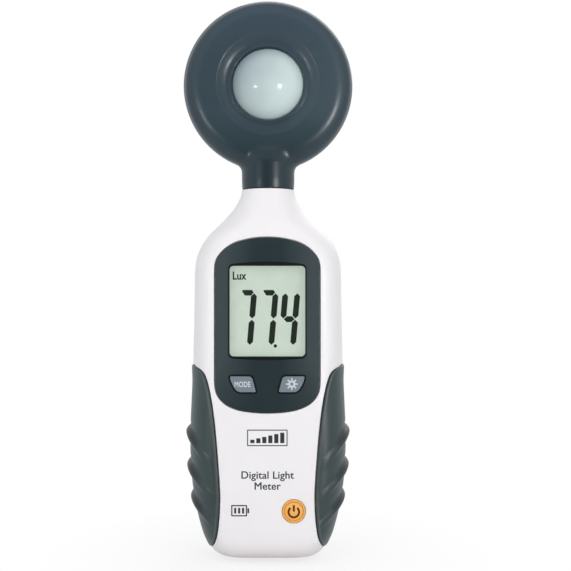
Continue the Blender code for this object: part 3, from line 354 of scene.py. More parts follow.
def painted_foot_shade(m, shade_colour, top):
    """White shell: painted shade darkens the edge it stands on, fading out upward."""
    N, L = m.node_tree.nodes, m.node_tree.links
    b = N["Principled BSDF"]
    old = b.inputs["Base Color"].links[0].from_socket
    sx = N.new("ShaderNodeSeparateXYZ")
    L.new(N.new("ShaderNodeTexCoord").outputs["Object"], sx.inputs[0])
    low = mathn(N, L, "SUBTRACT", 1.0, ramp(N, L, sx.outputs["Z"], 0.0005, top))
    L.new(mixc(N, L, mathn(N, L, "MULTIPLY", low, low), old, shade_colour), b.inputs["Base Color"])


# painted shade under the rounded foot
painted_foot_shade(WHITE, (0.675, 0.590, 0.585), 0.0095)


def painted_highlight_to_sides(m, light, x0, x1):
    """Dark glossy cover: a painted highlight lifts the colour gently toward its long sides, weaker near its bottom."""
    N, L = m.node_tree.nodes, m.node_tree.links
    b = N["Principled BSDF"]
    old = b.inputs["Base Color"].links[0].from_socket
    sx = N.new("ShaderNodeSeparateXYZ")
    L.new(N.new("ShaderNodeTexCoord").outputs["Object"], sx.inputs[0])
    # painted highlight toward the long sides
    side_x = ramp(N, L, mathn(N, L, "ABSOLUTE", sx.outputs["X"]), x0, x1)
    L.new(mixc(N, L, mathn(N, L, "MULTIPLY", side_x, mathn(N, L, "ADD", 0.25, ramp(N, L, sx.outputs["Z"], 0.054, 0.075))), old, light), b.inputs["Base Color"])


painted_highlight_to_sides(BEZEL, (0.040, 0.058, 0.064), 0.005, 0.018)


def opal():
    m, N, L = nt("opal_dome")
    b = N["Principled BSDF"]
    tc = N.new("ShaderNodeTexCoord").outputs["Object"]
    slow = noise(N, L, 90, 3, 0.5, tc)
    mid = noise(N, L, 900, 2, 0.6, tc)
    col = mixc(N, L, ramp(N, L, slow, 0.35, 0.65), (0.470, 0.558, 0.560), (0.512, 0.600, 0.596))
    # painted shade darkens the dome toward its upper left and painted light brightens it toward its lower right
    sx = N.new("ShaderNodeSeparateXYZ")
    L.new(tc, sx.inputs[0])
    lean = mathn(N, L, "ADD", mathn(N, L, "MULTIPLY", sx.outputs["X"], 22.0), mathn(N, L, "MULTIPLY", mathn(N, L, "SUBTRACT", sx.outputs["Z"], HEAD_Z * MM), -14.0))
    col = mixc(N, L, ramp(N, L, lean, 0.0, -0.32), col, (0.285, 0.352, 0.378))
    col = mixc(N, L, ramp(N, L, lean, 0.0, 0.32), col, (0.655, 0.765, 0.755))
    # painted shade darkening the dome toward its outline, set by viewing angle
    lw = N.new("ShaderNodeLayerWeight")
    lw.inputs["Blend"].default_value = 0.35
    col = mixc(N, L, ramp(N, L, lw.outputs["Facing"], 0.45, 1.0), col, (0.33, 0.42, 0.45))
    L.new(col, b.inputs["Base Color"])
    L.new(mathn(N, L, "ADD", 0.13, mathn(N, L, "MULTIPLY", mid, 0.05)), b.inputs["Roughness"])
    # painted glow: the dome emits a little light of its own colour
    L.new(col, b.inputs["Emission Color"])
    b.inputs["Emission Strength"].default_value = 0.07
    b.inputs["Subsurface Weight"].default_value = 0.55
    b.inputs["Subsurface Radius"].default_value = (1.0, 1.05, 1.0)
    b.inputs["Subsurface Scale"].default_value = 0.0022
    b.inputs["Specular IOR Level"].default_value = 0.5
    bump = N.new("ShaderNodeBump")
    bump.inputs["Distance"].default_value = MM
    L.new(mathn(N, L, "MULTIPLY", mid, 0.0015), bump.inputs["Height"])
    L.new(bump.outputs[0], b.inputs["Normal"])
    return m


def clear_window():
    m, N, L = nt("clear_window")
    out = N["Material Output"]
    N.remove(N["Principled BSDF"])
    tr = N.new("ShaderNodeBsdfTransparent")
    tr.inputs[0].default_value = (0.97, 0.985, 0.97, 1)
    gl = N.new("ShaderNodeBsdfGlossy")
    tc = N.new("ShaderNodeTexCoord").outputs["Object"]
    L.new(mathn(N, L, "ADD", 0.06, mathn(N, L, "MULTIPLY", noise(N, L, 500, 2, 0.5, tc), 0.05)), gl.inputs["Roughness"])
    fr = N.new("ShaderNodeFresnel")
    fr.inputs["IOR"].default_value = 1.45
    mx = N.new("ShaderNodeMixShader")
    L.new(mathn(N, L, "MULTIPLY", fr.outputs[0], 0.55), mx.inputs[0])
    L.new(tr.outputs[0], mx.inputs[1])
    L.new(gl.outputs[0], mx.inputs[2])
    L.new(mx.outputs[0], out.inputs["Surface"])
    return m


def lcd_glass():
    """Reflective display: grey-green with the faint mottling and cell grid of an unlit liquid crystal, given a painted
    glow that evens out the shade in its recess.
    """
    m, N, L = nt("lcd_glass")
    b = N["Principled BSDF"]
    tc = N.new("ShaderNodeTexCoord").outputs["Object"]
    slow = noise(N, L, 130, 3, 0.6, tc)
    mid = noise(N, L, 2200, 2, 0.6, tc)
    col = mixc(N, L, ramp(N, L, slow, 0.3, 0.7), (0.352, 0.392, 0.352), (0.384, 0.424, 0.380))
    col = mixc(N, L, mathn(N, L, "MULTIPLY", mid, 0.12), col, (0.318, 0.354, 0.316))
    L.new(col, b.inputs["Base Color"])
    # painted glow: strong emission of its own colour evens out the shade inside the window
    L.new(col, b.inputs["Emission Color"])
    b.inputs["Emission Strength"].default_value = 1.02
    L.new(mathn(N, L, "ADD", 0.30, mathn(N, L, "MULTIPLY", mid, 0.1)), b.inputs["Roughness"])
    bump = N.new("ShaderNodeBump")
    bump.inputs["Distance"].default_value = MM
    L.new(mathn(N, L, "MULTIPLY", mid, 0.003), bump.inputs["Height"])
    L.new(bump.outputs[0], b.inputs["Normal"])
    return m


OPAL, CLEAR, LCD = opal(), clear_window(), lcd_glass()
BY_SLOT = {"white_abs": WHITE, "dark_abs": DARK, "grip_rubber": RUBBER, "bezel_abs": BEZEL, "key_grey": KEYGREY,
           "key_orange": ORANGE, "opal_dome": OPAL, "clear_window": CLEAR, "lcd_glass": LCD, "natural_plastic": NATURAL,
           "pcb_green": PCBM, "black_plastic": BLACK, "steel": STEEL, "swivel_pom": POM, "filter_glass": FILTER,
           "wire_red": REDW, "battery_wrap": BATTERY}
for entry in frame["record"]["subparts"]:
    o = nodes[entry["node"]]
    if not o.material_slots:
        o.data.materials.append(None)
    for s in o.material_slots:
        s.material = BY_SLOT[entry["material_slot"]]


# ------------------------------------------------------------------ mesh helpers
def build(name, points, faces, mat, sharp=32):
    mesh = bpy.data.meshes.new(name)
    mesh.from_pydata((np.asarray(points, float) * MM).tolist(), [], faces)
    bm = bmesh.new()
    bm.from_mesh(mesh)
    bmesh.ops.remove_doubles(bm, verts=bm.verts, dist=1e-7)
    bmesh.ops.recalc_face_normals(bm, faces=bm.faces)
    bm.to_mesh(mesh)
    bm.free()
    mesh.materials.append(mat)
    mesh.shade_smooth()
    mesh.set_sharp_from_angle(angle=math.radians(sharp))
    o = bpy.data.objects.new(name, mesh)
    bpy.context.scene.collection.objects.link(o)
    return o


def lathe(name, profile, origin, axis, mat, seg=96):
    ax = {"x": 0, "y": 1, "z": 2}[axis[-1]]
    sign = -1 if axis[0] == "-" else 1
    u, v = [(1, 2), (2, 0), (0, 1)][ax]
    points, rings = [], []
    for r, a in profile:
        ring = []
        for k in range(seg if r > 1e-6 else 1):
            t = 2 * math.pi * k / seg
            p = [0, 0, 0]
            p[ax] = origin[ax] + sign * a
            p[u] = origin[u] + r * math.cos(t)
            p[v] = origin[v] + r * math.sin(t)
            ring.append(len(points))
            points.append(p)
        rings.append(ring)
    faces = []
    for i in range(len(rings)):
        a, b = rings[i], rings[(i + 1) % len(rings)]
        if len(a) == 1 and len(b) == 1:
            continue
        for k in range(seg):
            m = (k + 1) % seg
            if len(a) == 1:
                faces.append((a[0], b[m], b[k]))
            elif len(b) == 1:
                faces.append((a[k], a[m], b[0]))
            else:
                faces.append((a[k], a[m], b[m], b[k]))
    return build(name, points, faces, mat)


def rod(name, radius, x, z, y0, y1, mat=None, seg=48):
    return lathe(name, [(0, y0), (radius, y0), (radius, y1), (0, y1)], (x, 0, z), "y", mat or WHITE, seg)


def prism(name, outline, y0, y1, mat):
    n = len(outline)
    p = [(x, y0, z) for x, z in outline] + [(x, y1, z) for x, z in outline]
    f = [tuple(range(n)), tuple(range(2 * n - 1, n - 1, -1))] + [(i, (i + 1) % n, n + (i + 1) % n, n + i) for i in range(n)]
    return build(name, p, f, mat)


def box(name, x0, x1, y0, y1, z0, z1, mat=None):
    return prism(name, [(x0, z0), (x1, z0), (x1, z1), (x0, z1)], y0, y1, mat or WHITE)


def slab(name, top, bottom, mat, sharp=32):
    top, bottom = np.asarray(top), np.asarray(bottom)
    n, m = top.shape[:2]
    pts = np.concatenate([top.reshape(-1, 3), bottom.reshape(-1, 3)])
    t = lambda i, j: i * m + j
    b = lambda i, j: n * m + i * m + j
    faces = []
    for i in range(n - 1):
        for j in range(m - 1):
            faces.append((t(i, j), t(i, j + 1), t(i + 1, j + 1), t(i + 1, j)))
            faces.append((b(i, j), b(i + 1, j), b(i + 1, j + 1), b(i, j + 1)))
        faces.append((t(i, 0), t(i + 1, 0), b(i + 1, 0), b(i, 0)))
        faces.append((t(i, m - 1), b(i, m - 1), b(i + 1, m - 1), t(i + 1, m - 1)))
    for j in range(m - 1):
        faces.append((t(0, j), b(0, j), b(0, j + 1), t(0, j + 1)))
        faces.append((t(n - 1, j), t(n - 1, j + 1), b(n - 1, j + 1), b(n - 1, j)))
    return build(name, pts, faces, mat, sharp)


def combine(target, other, operation):
    m = target.modifiers.new("b", "BOOLEAN")
    m.operation = operation
    m.solver = "EXACT"
    m.object = other
    bpy.context.view_layer.update()
    mesh = bpy.data.meshes.new_from_object(target.evaluated_get(bpy.context.evaluated_depsgraph_get()))
    target.modifiers.remove(m)
    mesh.materials.clear()
    mesh.materials.append(target.data.materials[0])
    for p in mesh.polygons:
        p.material_index = 0
    mesh.shade_smooth()
    mesh.set_sharp_from_angle(angle=math.radians(32))
    target.data = mesh
    bpy.data.objects.remove(other, do_unlink=True)
    return target


def cut(target, *cutters):
    for c in cutters:
        combine(target, c, "DIFFERENCE")
    return target


def join(target, *others):
    for c in others:
        combine(target, c, "UNION")
    return target


def true_normals(o, normal_of, offset, limit=0.93):
    """Gives every corner that lies on the designed skin that skin's own normal, so cuts leave no shading marks."""
    me = o.data
    n = len(me.loops)
    vi = np.zeros(n, np.int32)
    me.loops.foreach_get("vertex_index", vi)
    co = np.zeros(len(me.vertices) * 3, np.float32)
    me.vertices.foreach_get("co", co)
    co = co.reshape(-1, 3).astype(float) / MM
    cn = np.zeros(n * 3, np.float32)
    me.corner_normals.foreach_get("vector", cn)
    cn = cn.reshape(-1, 3).astype(float)
    fn = np.zeros(len(me.polygons) * 3, np.float32)
    me.polygons.foreach_get("normal", fn)
    fn = fn.reshape(-1, 3)
    total = np.zeros(len(me.polygons), np.int32)
    me.polygons.foreach_get("loop_total", total)
    face_of = np.repeat(np.arange(len(me.polygons)), total)
    want = normal_of(co)[vi]
    on = offset(co)[vi]
    use = on & ((fn[face_of] * want).sum(1) > limit)
    cn[use] = want[use]
    me.normals_split_custom_set(cn.tolist())


def place(o, body, *replaced, slot=None):
    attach(o, body)
    if replaced:
        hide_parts(*replaced)
    return o


def half_shell(name, outer, inner, mat):
    outer, inner = np.asarray(outer), np.asarray(inner)
    n, m = outer.shape[:2]
    pts = np.concatenate([outer.reshape(-1, 3), inner.reshape(-1, 3)])
    o = lambda i, j: i * m + j
    q = lambda i, j: n * m + i * m + j
    faces = []
    for i in range(n - 1):
        for j in range(m - 1):
            faces.append((o(i, j), o(i, j + 1), o(i + 1, j + 1), o(i + 1, j)))
            faces.append((q(i, j), q(i + 1, j), q(i + 1, j + 1), q(i, j + 1)))
        for j in (0, m - 1):
            faces.append((o(i, j), o(i + 1, j), q(i + 1, j), q(i, j)))
    for j in range(m - 1):
        faces.append((o(n - 1, j), o(n - 1, j + 1), q(n - 1, j + 1), q(n - 1, j)))
    faces.append((o(0, 0), q(0, 0), q(0, m - 1), o(0, m - 1)))
    faces.append(tuple(o(0, j) for j in range(m)))
    faces.append(tuple(q(0, j) for j in range(m)))
    return build(name, pts, faces, mat)


# ------------------------------------------------------------------ case shells
WALL = 2.2
TOP = Z_JOINT - GAP / 2
LEVELS = np.concatenate([[0, 0.08, 0.2, 0.4, 0.7, 1.05, 1.5, 2.0, 2.6, 3.3, 4.1, 5.0, 6.0, 7.0, 8.2, 9.5], np.linspace(11, 104, 62),
                         np.linspace(105, TOP, 44)])
ANGLES = np.concatenate([np.linspace(0, 60, 34)[:-1], np.linspace(60, 120, 22)[:-1], np.linspace(120, 180, 34)])


def case_rows(front, inset):
    rows = []
    for z in LEVELS:
        zi = z if inset == 0 else inset + z * (TOP - inset) / TOP
        thick = inset and inset + 1.5 * (1 - float(smoothstep(3.5, 9, zi)))
        p = case_point(zi, ANGLES if front else -ANGLES, -thick)
        p[:, 1] = np.minimum(p[:, 1], -GAP / 2) if front else np.maximum(p[:, 1], GAP / 2)
        rows.append(p)
    return rows


front = half_shell("front_case_skin", case_rows(True, 0), case_rows(True, WALL), WHITE)
rear = half_shell("rear_case_skin", case_rows(False, 0), case_rows(False, WALL), WHITE)


def grip_rows(side, z0, z1, widen, rows, cols, depth, kind):
    zs = z0 + (z1 - z0) * (0.5 - 0.5 * np.cos(np.pi * np.linspace(0, 1, rows + 1)))
    t = np.linspace(0, 1, cols + 1)
    t = 0.5 - 0.5 * np.cos(np.pi * t) if kind != "cut" else t
    t = 0.35 * t + 0.65 * np.linspace(0, 1, cols + 1)
    zc = np.clip(zs, *GRIP_Z)
    w = shell_width(zs)
    x_in = np.minimum(f_grip(zc) - widen, w * 0.985)
    limit = np.degrees(np.arccos(x_in / w))
    Z = np.repeat(zs[:, None], cols + 1, 1)
    A = limit[:, None] * (1 - 2 * t[None, :])
    P, Nn = case_point(Z, A), case_normal(Z, A)
    d = np.full(Z.shape, float(depth))
    if kind == "top":
        d = depth - (depth + 0.05) * smoothstep(-22, -50, A)
        frontd = w[:, None] - P[..., 0]
        for zr, high in RIDGES:
            lean = np.where(A > 0, frontd * 1.25, 0)
            dz = Z - (zr - lean)
            dz = dz / np.where(dz > 0, 1.9, 2.9)          # steep above, longer below
            fade = np.where(A > 0, 0.82 * (1 - smoothstep(1.2, 5.6, frontd)) + 0.18 * (1 - smoothstep(5.0, 9.5, frontd)), smoothstep(-28, -3, A))
            d = d + np.where(np.abs(dz) < 1, 1.12 * high * np.cos(np.clip(dz, -1, 1) * np.pi / 2) * fade, 0)
            g = (Z - (zr - lean) - 2.6) / 1.4              # the scoop above each ridge
            d = d - np.where(np.abs(g) < 1, 0.34 * np.cos(np.clip(g, -1, 1) * np.pi / 2) ** 2 * fade * np.where(A > -2, 1, 0), 0)
        # rolled edges
        arc = np.radians(limit)[:, None] * 20.0
        e1 = np.minimum(t[None, :], 1 - t[None, :]) * 2 * arc
        e2 = np.minimum(Z - z0, z1 - Z)
        e = np.minimum(e1, e2 * 1.3)
        roll = 0.75
        q = np.clip(1 - e / roll, 0, 1)
        d = d - roll * (1 - np.sqrt(np.maximum(0, 1 - q**2))) * 0.85
    out = P + Nn * d[..., None]
    out[..., 0] *= side
    return out


def grip_painted_light_masks(o, side):
    """Painted shade that darkens the ridges and a painted highlight that makes the rolled inner edge paler, as two
    vertex values.
    """
    me = o.data
    co = np.empty(len(me.vertices) * 3)
    me.vertices.foreach_get("co", co)
    x, y, z = (co.reshape(-1, 3) / MM).T
    x = x * side
    fd = shell_width(z) - x
    ridge_shade = np.zeros(len(x))
    for zr, high in RIDGES:
        dz = z - (zr - np.where(y < 0, np.maximum(fd, 0) * 1.25, 0))
        dz = dz / np.where(dz > 0, 1.9, 2.9)
        ridge_shade = np.maximum(ridge_shade, np.clip(1 - np.abs(dz), 0, 1) ** 0.6 * (1 - smoothstep(0.8, 4.4, fd)))
    rim_highlight = np.clip(1 - np.abs(x - f_grip(np.clip(z, *GRIP_Z)) - 0.85) / 0.5, 0, 1) * (y < 0)
    for key, values in (("ridge_shade", ridge_shade), ("rim_highlight", rim_highlight)):
        me.attributes.new(key, "FLOAT", "POINT").data.foreach_set("value", values.astype(np.float32))


for side, name in ((1, "right_grip"), (-1, "left_grip")):
    g = slab(name + "_rubber", grip_rows(side, *GRIP_Z, 0, 190, 84, GRIP_RAISE + 0.15, "top"), grip_rows(side, *GRIP_Z, 0, 190, 84, -1.0, "flat"), RUBBER, 50)
    grip_painted_light_masks(g, side)
    place(g, "case", name, slot="grip_rubber")
    z0, z1 = GRIP_Z[0] - GAP, GRIP_Z[1] + 1.5 * GAP
    for shell in (front, rear):
        cut(shell, slab("seat", grip_rows(side, z0, z1, 1.5 * GAP, 46, 20, 3.0, "cut"), grip_rows(side, z0, z1, GAP, 46, 20, -1.38, "cut"), WHITE))

# ------------------------------------------------------------------ bezel
HALF = [(0, 116.9), (4.8, 116.6), (9.1, 115.65), (11.2, 115.0), (13.3, 113.95), (15.4, 112.4), (17.4, 110.2),
        (18.35, 108.2), (18.65, 106.0), (18.65, 64.8), (18.3, 62.2), (17.4, 60.1), (15.4, 57.9), (13.3, 56.7),
        (11.2, 55.85), (9.1, 55.3), (4.8, 54.7), (0, 54.5)]


def smooth_closed(points, passes=2):
    """Corner cutting that keeps long straight sides straight."""
    pts = [Vector(p) for p in points]
    for _ in range(passes):
        out = []
        for i in range(len(pts)):
            a, b = pts[i], pts[(i + 1) % len(pts)]
            cutd = min(0.25, 1.2 / max((b - a).length, 1e-6))
            out += [a.lerp(b, cutd), a.lerp(b, 1 - cutd)]
        pts = out
    return [tuple(p) for p in pts]


def grown(outline, d):
    area = sum(outline[i][0] * outline[(i + 1) % len(outline)][1] - outline[(i + 1) % len(outline)][0] * outline[i][1]
               for i in range(len(outline)))
    s = 1 if area > 0 else -1
    out = []
    for i in range(len(outline)):
        a, b, c = Vector(outline[i - 1]), Vector(outline[i]), Vector(outline[(i + 1) % len(outline)])
        e0, e1 = (b - a).normalized(), (c - b).normalized()
        n0, n1 = Vector((e0.y, -e0.x)) * s, Vector((e1.y, -e1.x)) * s
        n = (n0 + n1).normalized()
        out.append(tuple(b + n * (d / max(n.dot(n0), 0.5))))
    return out


def rounded_rect(hw, z0, z1, r, seg=8):
    pts = []
    for cx, cz, t0 in ((hw - r, z1 - r, 0), (-hw + r, z1 - r, 90), (-hw + r, z0 + r, 180), (hw - r, z0 + r, 270)):
        for k in range(seg + 1):
            t = math.radians(t0 + 90 * k / seg)
            pts.append((cx + r * math.cos(t), cz + r * math.sin(t)))
    return pts


BEZEL_OUT = smooth_closed(HALF + [(-x, z) for x, z in HALF[-2:0:-1]], 2)
def rounded_poly(corners, steps=7):
    """A closed outline whose corners (x, z, radius) are rounded, tangent to both sides."""
    out, n = [], len(corners)
    for i, (x, z, r) in enumerate(corners):
        p = Vector((x, z))
        a, b = Vector(corners[i - 1][:2]) - p, Vector(corners[(i + 1) % n][:2]) - p
        t = min(r / math.tan(a.angle(b) / 2), 0.48 * a.length, 0.48 * b.length)
        p0, p1 = p + a.normalized() * t, p + b.normalized() * t
        for k in range(steps + 1):
            u = k / steps
            out.append(tuple(p0 * (1 - u) ** 2 + p * 2 * u * (1 - u) + p1 * u * u))
    return out


MODE_KEY = [(-13.3, 67.5, 0.6), (-5.5, 67.5, 1.7), (-4.0, 61.9, 0.55), (-9.9, 61.9, 3), (-11.2, 62.6, 5), (-12.3, 64.4, 5), (-13.0, 66.1, 5)]
LIGHT_KEY = [(-x, z, r) for x, z, r in reversed(MODE_KEY)]
MODE_S, LIGHT_S = rounded_poly(MODE_KEY), rounded_poly(LIGHT_KEY)
POWER_KEY = (9.4, 19.6, 4.1)
px, pz, pr = POWER_KEY

cut(front, prism("rebate", grown(BEZEL_OUT, GAP), -30, -15.4, WHITE), prism("through", grown(BEZEL_OUT, -2.0), -16, -10, WHITE),
    rod("hole", pr + 0.17, px, pz, -25, -10))

zs = np.concatenate([np.linspace(50, 104, 50), np.linspace(104.6, 121, 30)])
aa = np.linspace(20, 160, 90)
form = case_point(zs[:, None], aa[None, :])
form[..., 1] -= 0.25
under = form.copy()
under[..., 1] = -10
form_solid = slab("form", form, under, BEZEL)
bezel = prism("display_bezel_cover", BEZEL_OUT, -30, -15.7, BEZEL)
combine(bezel, form_solid, "INTERSECT")
cut(bezel, prism("w", rounded_rect(13.5, 74.4, 106.7, 1.5), -30, -10, BEZEL), prism("k1", grown(MODE_S, GAP), -30, -10, BEZEL),
    prism("k2", grown(LIGHT_S, GAP), -30, -10, BEZEL))


def on_skin(offset):
    def test(co):
        z = np.clip(co[:, 2], 0, 135.0)
        w = shell_width(z)
        a = np.degrees(np.arccos(np.clip(co[:, 0] / w, -1, 1)))
        p = case_point(z, np.where(co[:, 1] <= 0, a, -a))
        return np.abs(np.abs(co[:, 1]) - np.abs(p[:, 1]) - offset) < 0.09
    return test


true_normals(bezel, skin_normal, on_skin(0.25))
place(bezel, "case", "display_bezel", slot="bezel_abs")

# ------------------------------------------------------------------ rear: bosses, counterbores, battery room
CASE_SCREWS = [(-19.6, 100.0), (19.6, 100.0), (-11.0, 8.7), (11.0, 8.7)]
for x, z in CASE_SCREWS:
    join(rear, rod("b", 3.5, x, z, 0.4, 15.6))
    cut(rear, rod("c", 2.9, x, z, 7.2, 30), rod("h", 1.5, x, z, -5, 12))
HINGE = (16.55, 16.6)
hy, hz = HINGE
join(rear, box("box", -15.6, 15.6, -4.2, 16.9, 14.4, 71.2))
cut(rear, box("room", -14.2, 14.2, -3.2, 15.35, 15.8, 69.8), box("door_way", -15.3, 15.3, 14.9, 25, 15.15, 66.3),
    box("wires", -5, 5, 4, 8, 66, 75),
    lathe("pins", [(0, -16.8), (0.75, -16.8), (0.75, 16.8), (0, 16.8)], (0, hy, hz), "x", WHITE, 32))
for o in (front, rear):
    true_normals(o, skin_normal, on_skin(0.0))
place(front, "case", "front_case", slot="white_abs")
place(rear, "case", "rear_case", slot="white_abs")



def lip(name, outline, thick, y0, y1, mat, closed):
    """A tongue standing behind a parting line so that nothing shows through it."""
    n = len(outline)
    inner_l = []
    for i in range(n):
        a = Vector(outline[i - 1] if (closed or i) else outline[i])
        c = Vector(outline[(i + 1) % n] if (closed or i < n - 1) else outline[i])
        d = (c - a).normalized()
        inner_l.append((outline[i][0] - d.y * thick, outline[i][1] + d.x * thick))
    pts, faces = [], []
    for ring_o, y in ((outline, y0), (inner_l, y0), (inner_l, y1), (outline, y1)):
        pts += [(x, y, z) for x, z in ring_o]
    last = n if closed else n - 1
    for r in range(4):
        for i in range(last):
            j = (i + 1) % n
            faces.append((r * n + i, r * n + j, ((r + 1) % 4) * n + j, ((r + 1) % 4) * n + i))
    if not closed:
        faces += [tuple(r * n for r in range(4)), tuple(r * n + n - 1 for r in reversed(range(4)))]
    return build(name, pts, faces, mat)


lz = np.concatenate([np.linspace(134.6, 105, 60), np.linspace(104, 12, 40), np.linspace(11, 1.4, 30)])
lw = shell_width(lz) - 0.95
line = [(-float(w_), float(z_)) for w_, z_ in zip(lw, lz)]
line += [(float(x_), 1.0) for x_ in np.linspace(-float(lw[-1]) + 1.2, float(lw[-1]) - 1.2, 12)]
line += [(float(w_), float(z_)) for w_, z_ in zip(lw[::-1], lz[::-1])]
place(lip("case_tongue", line, 0.6, -1.2, 1.2, BLACK, False), "case", slot="black_plastic")

# ------------------------------------------------------------------ battery door
side = [(15.3, 66.0), (17.35, 66.0), (17.55, 65.9), (17.65, 65.7)] + [
    (hy + 1.15 * math.cos(math.radians(t)), hz - 1.15 * math.sin(math.radians(t))) for t in range(0, 181, 10)]
n = len(side)
pts = [(-15.0, y, z) for y, z in side] + [(15.0, y, z) for y, z in side]
faces = [tuple(range(n)), tuple(range(2 * n - 1, n - 1, -1))] + [(i, (i + 1) % n, n + (i + 1) % n, n + i) for i in range(n)]
door = build("battery_door_panel", pts, faces, WHITE)
join(door, lathe("pin", [(0, -16.4), (0.65, -16.4), (0.65, 16.4), (0, 16.4)], (0, hy, hz), "x", WHITE, 32))
cut(door, lathe("finger", [(0, -8), (5.6, -8), (5.6, 8), (0, 8)], (0, 22.4, 60.8), "x", WHITE, 96))
for k in range(4):                      # thumb grooves below the finger recess
    cut(door, box("groove", -6.5, 6.5, 17.15, 19, 53.2 - 2.6 * k, 54.2 - 2.6 * k, WHITE))
join(door, box("tongue", -4, 4, 13.4, 15.8, 63.4, 64.9))
place(door, "battery_door", "battery_door", slot="white_abs")


# ------------------------------------------------------------------ keys
def key_cap(name, outline, top, mat):
    """A key cap standing a hair above the bezel, with its flange."""
    o = prism(name, outline, -top, -14.3, mat)
    join(o, prism("f", grown(outline, 0.9), -15.3, -14.3, mat))
    return o


for name, outline, cx in (("mode_key", MODE_S, -8.6), ("backlight_key", LIGHT_S, 8.6)):
    k = key_cap(name + "_cap", outline, 17.72, KEYGREY)
    join(k, rod("s", 1.6, cx, 64.8, -14.6, -11.0, KEYGREY, 32))
    place(k, name, name, slot="key_grey")


def skin_y(x, z):
    w = float(shell_width(z))
    return float(case_point(z, math.degrees(math.acos(max(-1, min(1, x / w)))))[1])


def key_well(name, outline):
    """The dark shadow groove round a key, let into the bezel's face."""
    pts, faces = [], []
    n = len(outline)
    for g, lift in ((0.22, 0.03), (0.62, 0.03), (0.62, -0.3), (0.22, -2.4)):
        pts += [(x, skin_y(x, z) - 0.25 - lift, z) for x, z in grown(outline, g)]
    for i in range(4):
        for j in range(n):
            k = (j + 1) % n
            faces.append((i * n + j, i * n + k, ((i + 1) % 4) * n + k, ((i + 1) % 4) * n + j))
    place(build(name, pts, faces, GASKET_AND_SHADE), "case", slot="black_plastic")


key_well("mode_key_well", MODE_S)
key_well("backlight_key_well", LIGHT_S)
power = lathe("power_key_cap", [(0, -17.50), (pr - 1.15, -17.46), (pr - 0.98, -17.36), (pr - 0.88, -17.0), (pr - 0.68, -17.0), (pr - 0.6, -17.38),
                                (pr - 0.45, -17.55), (pr - 0.2, -17.5), (pr - 0.05, -17.35), (pr, -17.1), (pr, -13.9),
                                (pr + 0.9, -13.9), (pr + 0.9, -13.1), (1.6, -13.1), (1.6, -11.0), (0, -11.0)], (px, 0, pz), "y", ORANGE, 96)
place(power, "power_key", "power_key", slot="key_orange")


# ------------------------------------------------------------------ printed marks: thin ink layers
def ink(name, polys, y_of, mat, thick=0.03):
    """Thin raised ink. polys are closed outlines in x, z; y_of gives the surface under a point."""
    pts, faces = [], []
    for poly in polys:
        n, k = len(poly), len(pts)
        pts += [(x, y_of(x, z) - thick, z) for x, z in poly] + [(x, y_of(x, z) + 0.05, z) for x, z in poly]
        faces += [tuple(range(k, k + n)), tuple(range(k + 2 * n - 1, k + n - 1, -1))]
        faces += [(k + i, k + (i + 1) % n, k + n + (i + 1) % n, k + n + i) for i in range(n)]
    o = build(name, pts, faces, mat)
    return o


def stroke(points, width, closed=False):
    """Quads along a line, each with square ends that overlap at the corners."""
    out = []
    pts = [Vector(p) for p in points]
    pairs = list(zip(pts, pts[1:])) + ([(pts[-1], pts[0])] if closed else [])
    for a, b in pairs:
        d = (b - a).normalized()
        nrm = Vector((-d.y, d.x)) * width / 2
        e = d * width * 0.28
        a, b = a - e, b + e
        steps = max(1, int((b - a).length / 1.2))
        for k in range(steps):
            p, q = a.lerp(b, k / steps), a.lerp(b, (k + 1) / steps)
            out.append([tuple(p + nrm), tuple(q + nrm), tuple(q - nrm), tuple(p - nrm)])
    return out


def ring(cx, cz, r, width, t0=0, t1=360, seg=28):
    k = [math.radians(t0 + (t1 - t0) * i / seg) for i in range(seg + 1)]
    return [[(cx + (r + s * width / 2) * math.cos(t), cz + (r + s * width / 2) * math.sin(t))
             for s, t in ((1, a), (1, b), (-1, b), (-1, a))] for a, b in zip(k, k[1:])]


def text_object(name, body, size, x, z, y, mat, centre=True, shear=0.0, extrude=0.02, space=1.0, bold=0.0):
    cu = bpy.data.curves.new(name, "FONT")
    cu.body = body
    cu.size = size * MM
    cu.align_x = "CENTER" if centre else "LEFT"
    cu.extrude = extrude * MM
    cu.shear = shear
    cu.space_character = space
    cu.resolution_u = 6
    t = bpy.data.objects.new(name + "_c", cu)
    bpy.context.scene.collection.objects.link(t)
    bpy.context.view_layer.update()
    me = bpy.data.meshes.new_from_object(t.evaluated_get(bpy.context.evaluated_depsgraph_get()))
    bpy.data.objects.remove(t, do_unlink=True)
    me.transform(Matrix.Translation(Vector((x, y, z)) * MM) @ Matrix.Rotation(math.radians(90), 4, "X"))
    if bold:
        bm = bmesh.new()
        for dx, dz in ((-1, 0), (1, 0), (0, -0.7), (0, 0.7)):
            k = len(bm.verts)
            bm.from_mesh(me)
            bm.verts.ensure_lookup_table()
            for v in bm.verts[k:]:
                v.co.x += dx * bold * MM
                v.co.z += dz * bold * MM
                v.co.y += 0.001 * dx * MM
        bm.to_mesh(me)
        bm.free()
    me.materials.clear()
    me.materials.append(mat)
    o = bpy.data.objects.new(name, me)
    bpy.context.scene.collection.objects.link(o)
    return o


